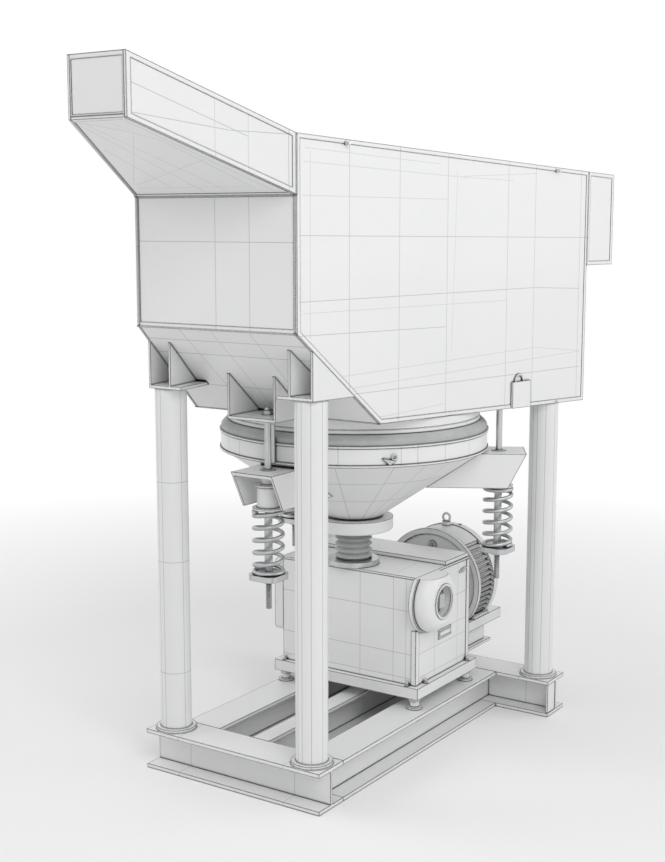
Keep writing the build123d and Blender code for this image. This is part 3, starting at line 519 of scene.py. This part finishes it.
def tubeShape(path, radius, reference, sides=8, closed=False):
    # a round section square to the path: centre + radius * (cosine * normal + sine * binormal)
    path = np.array(path, float)
    ahead = np.roll(path, -1, 0) - np.roll(path, 1, 0) if closed else np.gradient(path, axis=0)
    ahead = ahead / np.linalg.norm(ahead, axis=1, keepdims=True)
    side = np.cross(np.array(reference, float), ahead)
    side = side / np.linalg.norm(side, axis=1, keepdims=True)
    third = np.cross(ahead, side)
    radius = np.broadcast_to(np.asarray(radius, float), (len(path),))[:, None, None]
    points = path[:, None] + radius * spokes(fullTurn(sides), side[:, None], third[:, None])
    return gridShape(points, closed)


def slabShape(low, high, chamfer=0.0):
    # a block with its top edges cut back by the chamfer
    low, high = np.array(low, float), np.array(high, float)
    rows = []
    for inset, z in ((0.0, low[2]), (0.0, high[2] - chamfer), (chamfer, high[2])):
        left, right, near, far = low[0] + inset, high[0] - inset, low[1] + inset, high[1] - inset
        rows.append([(left, near, z), (right, near, z), (right, far, z), (left, far, z)])
    return gridShape(np.array(rows))


def prismShape(outline, height, shrink):
    # an outline raised to a height on Z, its top drawn in towards the middle
    outline = np.array(outline, float)
    rows = []
    for share, scale in ((0.0, 1.0), (0.7, 1.0), (1.0, shrink)):
        rows.append(np.column_stack([outline * scale, np.full(len(outline), height * share)]))
    return gridShape(np.array(rows))


def placed(shape, centre, along, roll=0.0):
    # turns a shape made on the Z axis to stand on a direction at a place
    first, second, axis = basis(along)
    axes = np.array([spokes(roll, first, second), spokes(roll, second, -first), axis])
    return shape[0] @ axes + np.array(centre), shape[1]


def piece(name, shapes, material, body, smoothAngle=40.0):
    # joins the shapes in one mesh that rides on a body
    counts = np.cumsum([0] + [len(verts) for verts, faces in shapes])
    verts = np.vstack([verts for verts, faces in shapes])
    faces = []
    for start, shape in zip(counts, shapes):
        for group in shape[1]:
            faces += (group + start).tolist()
    mesh = bpy.data.meshes.new(name)
    mesh.from_pydata(verts, [], faces)
    mesh.shade_smooth()
    mesh.set_sharp_from_angle(angle=math.radians(smoothAngle))
    mesh.materials.append(material)
    mesh.update()
    made = newObject(name, mesh)
    if body:
        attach(made, body)
    return made


# weld beads: small ones on the frame's joints, thin ones at the open ends of the chute and launder
bead = {
    "radius": 0.0023, "small": 0.0018, "thin": 0.0016, "foot": 0.0015,
    "ripple": 0.0052, "samples": 3, "rise": 0.16, "sides": 6,
}


def swell(radius, phase):
    # the radius swells once in each ripple
    return radius * (1 + bead["rise"] * np.cos(phase))


def pathBead(path, reference, radius=bead["radius"]):
    # a bead along an open path, cut in even steps along its length
    path = np.array(path, float)
    reach = np.concatenate([[0], np.cumsum(np.linalg.norm(np.diff(path, axis=0), axis=1))])
    steps = np.linspace(0, reach[-1], max(6, int(reach[-1] / bead["ripple"] * bead["samples"])))
    even = np.stack([np.interp(steps, reach, path[:, axis]) for axis in range(3)], -1)
    return tubeShape(even, swell(radius, 2 * np.pi * steps / bead["ripple"]), reference, bead["sides"])


def straightBead(start, end, radius=bead["radius"]):
    return pathBead([start, end], basis(np.subtract(end, start))[0], radius)


def ringBead(centre, around, radius=bead["radius"], fall=0.0):
    # a level circle; fall tips it down along X
    first, second, axis = basis(upward)
    ripples = max(8, round(2 * np.pi * around / bead["ripple"]))
    turn = fullTurn(ripples * bead["samples"])
    circle = around * spokes(turn, first, second)
    circle[:, 2] -= circle[:, 0] * fall
    return tubeShape(circle + np.array(centre), swell(radius, turn * ripples), axis, bead["sides"], True)


def sidePoint(side, x, z, inset=0.0):
    # a point on a side of the tank, or inset from it
    return (x, side * (halfWidth(x) - inset), z)


def sideBead(side, start, end, inset=0.0, radius=bead["radius"]):
    # a bead between two places (x, z) on a side
    return straightBead(sidePoint(side, *start, inset), sidePoint(side, *end, inset), radius)


# how far the beads stop short of the rim and of the open ends
short = {"rim": 0.003, "end": 0.002, "chuteTop": 0.004, "launderTop": 0.006}
chuteEndFloor = chuteFloor + chuteRise
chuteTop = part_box("chute_sides")[1].z
launderEnd = launderEndX - short["end"]
backRim = rimZ(tankBackX)
launderRim = (launderEnd, backRim - short["launderTop"])
frontFloor, frontFoot = (tankFrontX, chuteFloor), (tankFrontX, slopeTop)
bottomFront, bottomBack = (slopeFootX, slopeFoot), (tankBackX, bottomZ(tankBackX))
backFloor = (tankBackX, launderBase)
tankBeads = []
for side in (-1, 1):
    endY = side * (chuteEndHalf - plate)
    endFoot = (chuteEndX + short["end"], endY, chuteEndFloor)
    endTop = (chuteEndX + short["end"], endY, chuteTop - short["chuteTop"])
    tankBeads += [
        sideBead(side, frontFloor, (tankFrontX, rimFront - short["rim"])),
        sideBead(side, backFloor, (tankBackX, backRim - short["rim"])),
        sideBead(side, frontFoot, frontFloor, plate),
        sideBead(side, frontFoot, bottomFront, plate),
        sideBead(side, bottomFront, bottomBack, plate),
        sideBead(side, bottomBack, backFloor, plate),
        straightBead(sidePoint(side, *frontFloor, plate), (chuteEndX + short["rim"], endY, chuteEndFloor)),
        straightBead(endFoot, endTop, bead["thin"]),
        sideBead(side, (launderEnd, launderBase), launderRim, plate, bead["thin"]),
    ]
for corner in (frontFloor, frontFoot, bottomFront, backFloor):
    tankBeads.append(straightBead(sidePoint(-1, *corner), sidePoint(1, *corner)))
tankBeads.append(ringBead((coneX, 0, bottomZ(coneX)), radiusOf("tank_collar"), fall=bottomFall))
piece("tank_weld_beads", tankBeads, plainPaint, "frame")

# joints of the columns, brackets, hanger and base
bracketLow, bracketHigh = span("column_brackets")
hangerLow, hangerHigh = span("rod_hanger")
joint = {
    "capPlate": 0.008, "gusset": 0.0061, "innerGusset": 0.067, "hangerPlate": 0.008,
    "beamInset": 0.047, "sink": 0.0005,
}
frameBeads = []
for x, columnY, top, fall in (
    (0.0, columnFrontY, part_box("columns_front")[1].z, 0.0),
    (columnPitch, columnBackY, bottomZ(columnPitch), bottomFall),
):
    for y in (-columnY, columnY):
        frameBeads += [
            ringBead((x, y, beamTop), columnSize["collar"]),
            ringBead((x, y, beamTop + columnSize["collarHeight"]), columnSize["radius"]),
            ringBead((x, y, top), columnSize["radius"], fall=fall),
        ]
capTop = bracketLow[2] + joint["capPlate"]
for side in (-1, 1):
    for inset in (joint["gusset"], joint["innerGusset"]):
        for z in (capTop, bracketHigh[2]):
            corner = (slopeX(capTop), capTop)
            frameBeads.append(sideBead(side, (bracketLow[0], z), corner, inset, bead["small"]))
hangerTop = hangerLow[2] + joint["hangerPlate"]
for side in (-1, 1):
    outer, inner = side * hangerHigh[1], side * (hangerHigh[1] - joint["gusset"])
    for y, z in ((outer, hangerHigh[2]), (inner, hangerHigh[2]), (inner, hangerTop)):
        corner = (slopeX(hangerTop), y, hangerTop)
        frameBeads.append(straightBead((hangerLow[0], y, z), corner, bead["small"]))
for node in ("base_left_beam", "base_right_beam", "base_middle_channel"):
    low, high = span(node)
    inset = 0.0 if node == "base_middle_channel" else joint["beamInset"]
    for x in (low[0] + inset, high[0] - inset):
        for z in (bead["radius"], beamTop - joint["sink"]):
            frameBeads.append(straightBead((x, low[1], z), (x, high[1], z), bead["small"]))
piece("frame_weld_beads", frameBeads, framePaint, "frame")

# end plates between the flanges of the back beam, from the front tips of the flanges to the web
endPlate = {"inset": 0.0015, "thick": 0.006, "tip": 0.004, "flange": 0.010, "halfWeb": 0.003, "sink": 0.0001}
backLow, backHigh = span("base_back_beam")
reveal = endPlate["flange"] - endPlate["sink"]
endPlates = []
for y in (backLow[1] + endPlate["inset"], backHigh[1] - endPlate["inset"] - endPlate["thick"]):
    low = (backLow[0] + endPlate["tip"], y, reveal)
    high = (columnPitch - endPlate["halfWeb"], y + endPlate["thick"], beamTop - reveal)
    endPlates.append(slabShape(low, high))
piece("back_beam_end_plates", endPlates, framePaint, "frame")

# joints of the cone: with its boss and ring, and with the arms
rodTurns = (math.pi, math.pi / 3, -math.pi / 3)
armJoint = {"coneSlope": 1.465, "foot": 0.036, "acrossSteps": 25, "upSteps": 12}
armHalf = (armHigh[1] - armLow[1]) / 2


def coneRadius(z):
    return rimRadius - (ringBase - z) * armJoint["coneSlope"]


def armPath(turn, across, height):
    # the joint of an arm and the cone: along and across it, the squares add up to the radius squared
    along = np.sqrt(coneRadius(height) ** 2 - across ** 2)
    x = coneX + along * math.cos(turn) - across * math.sin(turn)
    return np.stack([x, along * math.sin(turn) + across * math.cos(turn), height + 0 * across], -1)


across = np.linspace(-armHalf, armHalf, armJoint["acrossSteps"])
heights = np.linspace(armLow[2] + armJoint["foot"], armHigh[2], armJoint["upSteps"])
coneBeads = [
    ringBead((coneX, 0, bossTop), coneRadius(bossTop)),
    ringBead((coneX, 0, ringBase), rimRadius, bead["small"]),
]
for turn in rodTurns:
    tangent = np.cross(upward, spokes(turn))
    coneBeads.append(pathBead(armPath(turn, across, armHigh[2]), upward))
    for side in (-1, 1):
        coneBeads.append(pathBead(armPath(turn, side * armHalf, heights), tangent))
piece("cone_weld_beads", coneBeads, conePaint, "cone")
print("weld beads made")

# coil springs
spring = {
    "outer": 0.040, "wire": 0.0050, "turns": 6.4, "flat": 0.12, "steps": 60, "sides": 14,
    "starts": (22, 60, -114),
}
rodCircle = coneX - springLow[0] - spring["outer"]
rodPlaces = coneFoot + rodCircle * spokes(rodTurns)


def coilShape(place, start):
    # a helix whose height holds level over the first and last shares, and climbs evenly between
    share = np.linspace(0, 1, int(spring["turns"] * spring["steps"]))
    climb = np.clip((share - spring["flat"]) / (1 - 2 * spring["flat"]), 0, 1)
    turn = math.radians(start) + 2 * np.pi * spring["turns"] * share
    path = place + (spring["outer"] - spring["wire"]) * spokes(turn)
    path[:, 2] = springLow[2] + spring["wire"] + (springHigh[2] - springLow[2] - 2 * spring["wire"]) * climb
    return tubeShape(path, spring["wire"], upward, spring["sides"])


coils = [coilShape(place, start) for place, start in zip(rodPlaces, spring["starts"])]
springPiece = piece("spring_coils", coils, springSteel, None)
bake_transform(springPiece)
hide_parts("springs")

# bellows
bellows = {
    "outer": 0.0489, "fold": 0.0085, "folds": 5, "power": 0.8, "wall": 0.0025, "steps": 96, "rows": 121,
}


def bellowsProfile():
    # the radius drops by one fold, as a power of a raised cosine, once a fold on the way up
    share = np.linspace(0, 1, bellows["rows"])
    dip = (0.5 + 0.5 * np.cos(2 * np.pi * bellows["folds"] * share)) ** bellows["power"]
    radius = bellows["outer"] - bellows["fold"] * dip
    height = bellowsLow[2] + (bellowsHigh[2] - bellowsLow[2]) * share
    outer = np.stack([radius, height], -1)
    return np.vstack([outer, (outer - (bellows["wall"], 0))[::-1]])


bellowsSkin = turnedShape(bellowsProfile(), coneFoot, upward, bellows["steps"], True)
bellowsPiece = piece("bellows_skin", [bellowsSkin], rubber, None)
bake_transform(bellowsPiece)
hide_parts("bellows")

# diaphragm: a clamp ring under the collar, the lip, the roll, and the skirt with two beads down to the ring
skirt = {
    "lip": 0.300, "roll": 0.021, "wall": 0.006, "steps": 160, "clamp": 0.011, "clampRadius": 0.0275,
    "clampEdge": 0.001, "clampGap": 0.0001, "clampSink": 0.0002,
    "beads": ((0.0012, 0.35), (0.0010, 1.15)), "beadWidth": 0.10,
}
skirtTop = skirtHigh[2] - skirt["clamp"]


def skirtProfile():
    # level lip, quarter circle, straight skirt; then the same back, one wall further in
    lip, roll, wall = skirt["lip"], skirt["roll"], skirt["wall"]
    radius = radiusOf("diaphragm")
    turn = np.linspace(np.pi / 2, 0, 16)[:, None]
    centre = np.array([radius - roll, skirtTop - roll])
    beads = [rise * np.exp(-((turn - place) / skirt["beadWidth"]) ** 2) for rise, place in skirt["beads"]]
    arc = np.hstack([np.cos(turn), np.sin(turn)])
    return np.vstack([
        (lip, skirtTop), centre + (roll + sum(beads)) * arc, (radius, skirtLow[2]),
        (radius - wall, skirtLow[2]), centre + (roll - wall) * arc[::-1], (lip, skirtTop - wall),
    ])[::-1]


skirtSkin = turnedShape(skirtProfile(), coneFoot, upward, skirt["steps"], True)
skirtPiece = piece("diaphragm_skin", [skirtSkin], rubber, None)
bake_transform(skirtPiece)
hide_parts("diaphragm")
clampOuter, edge = skirt["lip"] + skirt["clampRadius"], skirt["clampEdge"]
clampBase, clampTop = skirtTop + skirt["clampGap"], skirtHigh[2] + skirt["clampSink"]
clampProfile = [
    (skirt["lip"], clampBase), (clampOuter - edge, clampBase), (clampOuter, skirtTop + edge),
    (clampOuter, skirtHigh[2] - edge), (clampOuter - edge, clampTop), (skirt["lip"], clampTop),
]
clampRing = turnedShape(clampProfile, coneFoot, upward, skirt["steps"], True)
piece("diaphragm_clamp_ring", [clampRing], plainPaint, "frame", 30)
print("springs, bellows and diaphragm made")

# bolts: each radius and height is a share of the size, and each bolt of a row is rolled on from the last
bolt = {
    "roll": 0.4,
    "washer": ((1, 0), (1, 0.14)),
    "head": ((0.85, 0.14), (0.85, 0.62), (0.85 * 0.84, 0.74)),
    "stud": ((0.46, 0.5), (0.46, 1.7), (0.46 * 0.85, 1.9), (0.46 * 0.5, 2.0)),
}


def boltShapes(size, stud=False):
    # a washer and a six-sided head with its corners cut, or a nut with its stud, on the Z axis
    kinds = [("washer", 24), ("head", 6)] + [("stud", 16)] * stud
    return [turnedShape(np.array(bolt[kind]) * size, (0, 0, 0), upward, steps) for kind, steps in kinds]


def boltRow(places, along, size, stud=False):
    shapes = []
    for number, place in enumerate(places):
        shapes += [placed(shape, place, along, bolt["roll"] * number) for shape in boltShapes(size, stud)]
    return shapes


# drive box fittings
fitting = {
    "clampSize": 0.0070, "margin": 0.0085, "clampX": (0.479, 0.703), "clampY": (-0.202, 0.185),
    "footNut": ((0.0165, 0.0), (0.0165, 0.007), (0.01485, 0.0085)), "footNutBase": 0.0205,
    "footInset": 0.022, "footRadius": 0.012, "railBase": 0.030,
    "windowRadius": 0.043, "windowDepth": 0.030, "housingReach": 0.054, "housingDrop": 0.064,
}
margin = fitting["margin"]
sideY = (boxLow[1] - margin, boxHigh[1] + margin)
studPlaces = [(boxLow[0] - margin, y, subHigh[2]) for y in fitting["clampY"]]
studPlaces += [(x, y, subHigh[2]) for x in fitting["clampX"] for y in sideY]
boltPlaces = [(boxHigh[0] + margin, y, subHigh[2]) for y in fitting["clampY"]]
fittings = boltRow(studPlaces, upward, fitting["clampSize"], True)
fittings += boltRow(boltPlaces, upward, fitting["clampSize"])
inset = fitting["footInset"]
footX, footY = (subLow[0] + inset, subHigh[0] - inset), (subLow[1] + inset, subHigh[1] - inset)
footPlaces = [(x, y) for x in footX for y in footY]
for x, y in footPlaces:
    fittings.append(turnedShape(fitting["footNut"], (x, y, beamTop + fitting["footNutBase"]), upward, 6))
piece("drive_fasteners", fittings, brightSteel, "frame", 30)
railBase = beamTop + fitting["railBase"]
footBeads = [ringBead((x, y, railBase), fitting["footRadius"], bead["foot"]) for x, y in footPlaces]
piece("drive_foot_beads", footBeads, framePaint, "frame")

# angle trims on the drive box's right corners, a blank name plate and a drop latch
trim = {"frontLeg": 0.013, "sideLeg": 0.016, "thick": 0.0015, "sink": 0.0003, "overlap": 0.0001, "top": 0.306}
rightFace = boxLow[1]
sideOut, sideIn = rightFace - trim["thick"], rightFace + trim["sink"]
frontOut, frontIn = boxLow[0] - trim["thick"], boxLow[0] + trim["sink"]
foot, top = subHigh[2], trim["top"]
trims = [
    slabShape((frontOut, sideOut, foot), (boxLow[0] + trim["sideLeg"], sideIn, top)),
    slabShape((frontOut, sideIn - trim["overlap"], foot), (frontIn, rightFace + trim["frontLeg"], top)),
    slabShape((boxHigh[0] - trim["sideLeg"], sideOut, foot), (boxHigh[0], sideIn, boxHigh[2])),
]
piece("drive_box_corner_trims", trims, drivePaint, "frame")

plateSize = {
    "middle": (0.590, 0.267), "half": (0.0345, 0.0135), "border": 0.0065, "thick": 0.0014, "sink": 0.0002,
    "rise": 0.0008, "chamfer": 0.0003, "rivetInset": 0.003,
    "rivet": ((0.0016, 0.0), (0.0016, 0.0004), (0.0012, 0.0009), (0.0005, 0.0012)),
}
plateX, plateZ = plateSize["middle"]


def faceBlock(halfX, halfZ, base, top):
    # a block of the name plate, standing out of the drive box's right face
    low, high = (plateX - halfX, plateZ - halfZ, base), (plateX + halfX, plateZ + halfZ, top)
    verts, faces = slabShape(low, high, plateSize["chamfer"])
    return np.stack([verts[:, 0], rightFace - verts[:, 2], verts[:, 1]], -1), faces


halfX, halfZ = plateSize["half"]
border, thick, sink = plateSize["border"], plateSize["thick"], plateSize["sink"]
rim = [faceBlock(halfX, halfZ, -sink, thick)]
face = [faceBlock(halfX - border, halfZ - border, thick - sink, thick + plateSize["rise"])]
rivetX, rivetZ = halfX - plateSize["rivetInset"], halfZ - plateSize["rivetInset"]
for x in (plateX - rivetX, plateX + rivetX):
    for z in (plateZ - rivetZ, plateZ + rivetZ):
        face.append(turnedShape(plateSize["rivet"], (x, rightFace - thick, z), rightward, 16))
piece("name_plate_border", rim, brightSteel, "frame")
piece("name_plate_blank", face, plainPaint, "frame")

# the latch's leaf is a lens on a leaning line, laid against the right face, with a pin through it
latch = {
    "middle": (0.6855, 0.416), "half": 0.0215, "deep": 0.0058, "lean": 0.12, "thick": 0.004, "top": 0.8,
    "sink": 0.0003,
    "pin": ((0.0026, 0.0), (0.0026, 0.0016), (0.0018, 0.0024)), "pinPlace": (-0.010, 0.0005, -0.001),
}
share = np.linspace(-1, 1, 19)
bulge = latch["deep"] * (1 - share ** 2)
across, lean = share * latch["half"], share * latch["half"] * latch["lean"]
upper = np.stack([across, bulge + lean], -1)
lower = np.stack([across, -bulge + lean], -1)[::-1][1:-1]
leaf, leafFaces = prismShape(np.vstack([upper, lower]), latch["thick"], latch["top"])
latchX, latchZ = latch["middle"]
leaf = np.stack([latchX + leaf[:, 0], rightFace + latch["sink"] - leaf[:, 2], latchZ + leaf[:, 1]], -1)
pinFoot = np.array([latchX, rightFace - latch["thick"], latchZ]) + latch["pinPlace"]
pin = turnedShape(latch["pin"], pinFoot, rightward, 20)
leafShape = (leaf, [faces[:, ::-1] for faces in leafFaces])
piece("drive_box_latch", [leafShape, pin], brightSteel, "frame")

# bearing window: its bezel, and the shaft end with a key block in the bore
windowCentre = np.array([coneX, boxLow[1] - fitting["housingReach"], lidTop - fitting["housingDrop"]])
window = {
    "bezel": ((0.004, -0.001), (0.0035, 0.0022), (0.0, 0.003), (-0.0035, 0.0022), (-0.004, -0.004)),
    "shaft": ((0.024, 0.0), (0.024, 0.010), (0.022, 0.012)),
    "blockLow": (-0.013, -0.024, -0.018), "blockHigh": (0.013, -0.010, 0.019), "blockChamfer": 0.002,
}
bezelProfile = [(fitting["windowRadius"] + out, height) for out, height in window["bezel"]]
boreFloor = windowCentre + np.array([0, fitting["windowDepth"], 0])
shaftEnd = turnedShape(window["shaft"], boreFloor, rightward, 48)
block = slabShape(boreFloor + window["blockLow"], boreFloor + window["blockHigh"], window["blockChamfer"])
bezel = turnedShape(bezelProfile, windowCentre, rightward, 72, True)
piece("bearing_window_bezel", [bezel], drivePaint, "frame", 50)
piece("bearing_shaft_end", [shaftEnd, block], brightSteel, "frame")

# worm-drive clamps on the ends of the bellows
clip = {
    "radius": 0.0418, "height": 0.0075, "thick": 0.0009, "turn": math.radians(-56), "edge": 0.0006,
    "screw": (0.0045, 0.0042, 0.006), "screwChamfer": 0.001, "screwFoot": 0.0004,
    "head": ((0.0034, 0.0), (0.0034, 0.004), (0.0028, 0.0046)), "headOut": 0.003,
}
around, clipOut = clip["radius"], spokes(clip["turn"])
tangent = np.cross(upward, clipOut)
deep, high, reach = clip["screw"]
for name, body, base in (
    ("bellows_lower_clamp", "frame", bellowsLow[2] + clip["edge"]),
    ("bellows_upper_clamp", "cone", bellowsHigh[2] - clip["height"] - clip["edge"]),
):
    top, outer = base + clip["height"], around + clip["thick"]
    bandProfile = [(around, base), (outer, base), (outer, top), (around, top)]
    band = turnedShape(bandProfile, coneFoot, upward, 72, True)
    box = slabShape((-deep, -high, 0), (deep, high, reach), clip["screwChamfer"])
    screwFoot = np.array([coneX, 0, (base + top) / 2]) + clipOut * (around + clip["screwFoot"])
    head = turnedShape(clip["head"], screwFoot + clipOut * clip["headOut"] + tangent * deep, tangent, 6)
    piece(name, [band, placed(box, screwFoot, clipOut), head], brightSteel, body, 30)
print("drive fittings made")

# motor: bolts of the shield, feet with their bolts, screws and grille of the fan cover
motor = {
    "y": -0.078, "z": 0.345, "shield": 0.014, "footChamfer": 0.001,
    "bosses": 8, "bossCircle": 0.104, "bossSize": 0.0062, "lowestBoss": -0.3,
    "footY": (0.094, 0.129), "footTop": 0.007, "footBolt": 0.0065, "boltInset": 0.0095, "boltEnd": 0.012,
    "screwCircle": 0.1466, "coverScrews": (11, 101, 169), "screwInset": 0.014, "screwSize": 0.0045,
    "grille": (0.022, 0.036, 0.050, 0.064, 0.078), "grilleWire": 0.0016, "bars": 8, "barTurn": 0.39,
    "barEnds": (0.012, 0.084), "hub": ((0.014, -0.0005), (0.014, 0.001), (0.011, 0.002)),
}
motorLow, motorHigh = span("motor_body")
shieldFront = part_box("motor_shield")[1].x - motor["shield"]
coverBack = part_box("motor_fan_cover")[1].x
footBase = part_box("motor_bracket")[1].z
footTop = footBase + motor["footTop"]


def motorSpoke(turn):
    return spokes(turn, (0, 1, 0), (0, 0, 1))


def onAxis(x):
    return np.array([x, motor["y"], motor["z"]])


bossPlaces = [
    onAxis(shieldFront) + motor["bossCircle"] * motorSpoke(turn)
    for turn in fullTurn(motor["bosses"]) if math.sin(turn) > motor["lowestBoss"]
]
motorBolts = boltRow(bossPlaces, forward, motor["bossSize"])
feet = []
for side in (-1, 1):
    near, far = sorted(motor["y"] + side * reach for reach in motor["footY"])
    feet.append(slabShape((motorLow[0], near, footBase), (motorHigh[0], far, footTop), motor["footChamfer"]))
    boltY = motor["y"] + side * (motor["footY"][1] - motor["boltInset"])
    boltX = (motorLow[0] + motor["boltEnd"], motorHigh[0] - motor["boltEnd"])
    motorBolts += boltRow([(x, boltY, footTop) for x in boltX], upward, motor["footBolt"])
for degrees in motor["coverScrews"]:
    out = motorSpoke(math.radians(degrees))
    place = onAxis(coverBack - motor["screwInset"]) + out * motor["screwCircle"]
    motorBolts += boltRow([place], out, motor["screwSize"])
grilleFace = onAxis(coverBack)
grille = []
for around in motor["grille"]:
    circle = grilleFace + around * motorSpoke(fullTurn(64))
    grille.append(tubeShape(circle, motor["grilleWire"], backward, 6, True))
for turn in fullTurn(motor["bars"]) + motor["barTurn"]:
    start, end = [grilleFace + motorSpoke(turn) * reach for reach in motor["barEnds"]]
    grille.append(tubeShape(np.linspace(start, end, 3), motor["grilleWire"], backward, 6))
grille.append(turnedShape(motor["hub"], grilleFace, backward, 32))
piece("motor_bolts", motorBolts, brightSteel, "frame", 30)
piece("motor_feet", feet, motorPaint, "frame")
piece("fan_grille", grille, motorPaint, "frame")

# hanger rods: threads on the tails, and washers on the arms
thread = {
    "radius": 0.0066, "depth": 0.0006, "pitch": 0.0020, "steps": 24, "start": 0.001, "stop": 0.026,
    "washer": (0.0112, 0.019, 0.003), "edge": 0.0005, "sink": 0.0002,
}
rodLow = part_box("hanger_rods")[0].z
heights = np.arange(rodLow + thread["start"], springLow[2] - thread["stop"], thread["pitch"] / 2)
radius = thread["radius"] + thread["depth"] * (np.arange(len(heights)) % 2)
inner, outer, high = thread["washer"]
base, edge = armHigh[2] - thread["sink"], thread["edge"]
top = base + high
washerProfile = [(inner, base), (outer, base), (outer, top - edge), (outer - edge, top), (inner, top)]
threads, washers = [], []
for place in rodPlaces:
    threads.append(turnedShape(np.stack([radius, heights], -1), place, upward, thread["steps"]))
    washers.append(turnedShape(washerProfile, place, upward, 40, True))
piece("rod_threads", threads, brightSteel, "frame", 25)
piece("arm_washers", washers, brightSteel, "cone", 30)

# cone lug: a three-cornered tab on the ring's band, with a ring standing at its end, and a strap at the front
lug = {
    "turn": math.radians(-133.2), "wide": 0.034, "deep": 0.017, "thick": 0.005, "z": 0.785, "sink": 0.0035,
    "corners": ((0.05, -1.0), (0.5, -0.40), (-0.5, 0.0)),
    "ring": 0.0062, "wire": 0.0019, "ringAcross": 0.38, "ringOut": 0.006, "ringUp": 0.3,
    "strapLow": (-0.0035, -0.002, 0.765), "strapHigh": (0.0003, 0.008, 0.859),
}
lugOut = spokes(lug["turn"])
tangent = np.cross(upward, lugOut)
lugFoot = np.array([coneX, 0, lug["z"]]) + lugOut * (ringRadius - lug["sink"])


def onLug(across, up):
    return lugFoot + tangent * across * lug["wide"] + np.array([0, 0, up])


corners = np.array([onLug(across, up * lug["deep"]) for across, up in lug["corners"]])
tab = [corners, corners + lugOut * (lug["thick"] + lug["sink"])]
ringCentre = onLug(lug["ringAcross"], lug["ringUp"] * lug["ring"]) + lugOut * lug["ringOut"]
ringPath = ringCentre + lug["ring"] * spokes(fullTurn(40), tangent, upward)
bandFront = np.array([coneX - ringRadius, 0, 0])
lugShapes = [
    gridShape(np.array(tab)),
    tubeShape(ringPath, lug["wire"], lugOut, 10, True),
    slabShape(bandFront + lug["strapLow"], bandFront + lug["strapHigh"]),
]
piece("cone_lug_and_strap", lugShapes, brightSteel, "cone")
print("fittings made")

# screen wires: long wedge bars on the deck, kept off the tank's flared sides
wires = {
    "pitch": 0.0046, "width": 0.0024, "height": 0.0024, "inset": 0.004, "wall": 0.010, "shortest": 0.02,
    "sink": 0.0002, "chamfer": 0.0004,
}
deckLow, deckHigh = span("screen_deck")
rows = np.arange(-halfWidth(tankBackX), halfWidth(tankBackX), wires["pitch"])
starts = tankFrontX + (np.abs(rows) - frontHalf + wires["wall"]) / flare
starts = np.maximum(deckLow[0], starts) + wires["inset"]
stop = deckHigh[0] - wires["inset"]
kept = (starts < stop - wires["shortest"]) & (np.abs(rows) < deckHigh[1] - wires["inset"])
wireShapes = []
for y, start in zip(rows[kept], starts[kept]):
    low = (start, y - wires["width"] / 2, deckHigh[2] - wires["sink"])
    high = (stop, y + wires["width"] / 2, deckHigh[2] + wires["height"])
    wireShapes.append(slabShape(low, high, wires["chamfer"]))
piece("screen_wires", wireShapes, screenSteel, "frame")
print("screen wires:", len(wireShapes))

# floor: lit paper under the machine, plain white further out as the camera sees it
floorSize = {"radius": 7.0, "middle": 0.4, "drop": 0.0005, "steps": 96, "clear": 1.3, "gone": 3.4}
disc = floorSize["radius"] * spokes(fullTurn(floorSize["steps"]))
disc += (floorSize["middle"], 0, -floorSize["drop"])
floorMesh = bpy.data.meshes.new("floor")
floorMesh.from_pydata(disc, [], [list(range(len(disc)))])
floor = newObject("floor", floorMesh)
floorMaterial, net = newMaterial("floorPaper")
x, y, z = net.split(net.place())
x = x - floorSize["middle"]
away = net.maths("SQRT", x * x + y * y)
fade = net.clamp((away - floorSize["clear"]) / (floorSize["gone"] - floorSize["clear"]))
grain = net.noise(net.place(), scale=60.0, detail=3.0)
pale = net.mix(grain * 0.3, (0.93, 0.93, 0.93, 1), (0.90, 0.90, 0.90, 1))
dull = net.node("ShaderNodeBsdfDiffuse", {"Color": pale})
white = net.node("ShaderNodeEmission", {"Color": (1, 1, 1, 1), "Strength": 1.0})
shader = net.node("ShaderNodeMixShader", {0: fade * seenMask(net), 1: dull, 2: white})
net.node("ShaderNodeOutputMaterial", {"Surface": shader})
floorMesh.materials.append(floorMaterial)

# background, lights and camera
world = bpy.data.worlds.new("studio")
bpy.context.scene.world = world
world.use_nodes = True
net = Net(world.node_tree)
level = net.mix(seenMask(net), (0.62, 0.62, 0.62, 1), (1, 1, 1, 1))
sky = net.node("ShaderNodeBackground", {"Color": level, "Strength": 1.0})
net.node("ShaderNodeOutputWorld", {"Surface": sky})

lamps = (
    ("keyLamp", (-2.2, -3.4, 3.6), 2.6, 78.0),
    ("sideLamp", (2.6, -3.2, 2.2), 2.4, 22.0),
    ("backLamp", (-1.0, 3.4, 3.0), 2.6, 40.0),
)
target = Vector((0.4, 0, 0.8))
for name, place, size, power in lamps:
    lamp = bpy.data.lights.new(name, "AREA")
    lamp.size = size
    lamp.energy = power
    holder = newObject(name, lamp)
    holder.location = place
    holder.rotation_euler = (target - Vector(place)).to_track_quat("-Z", "Y").to_euler()

shot = {
    "focal": 1375.62, "height": 862, "sensor": 36.0,
    "place": (-2.4961, -1.9391, 1.3400), "yaw": 0.5916862, "pitch": 0.1508976,
}
lens = bpy.data.cameras.new("camera")
lens.sensor_fit = "VERTICAL"
lens.sensor_height = shot["sensor"]
lens.lens = shot["focal"] / shot["height"] * shot["sensor"]
camera = newObject("camera", lens)
camera.location = shot["place"]
ahead = Vector((
    math.cos(shot["yaw"]) * math.cos(shot["pitch"]),
    math.sin(shot["yaw"]) * math.cos(shot["pitch"]),
    -math.sin(shot["pitch"]),
))
camera.rotation_euler = ahead.to_track_quat("-Z", "Y").to_euler()
bpy.context.scene.camera = camera
bpy.context.scene.view_settings.view_transform = "Standard"
print("stage set")
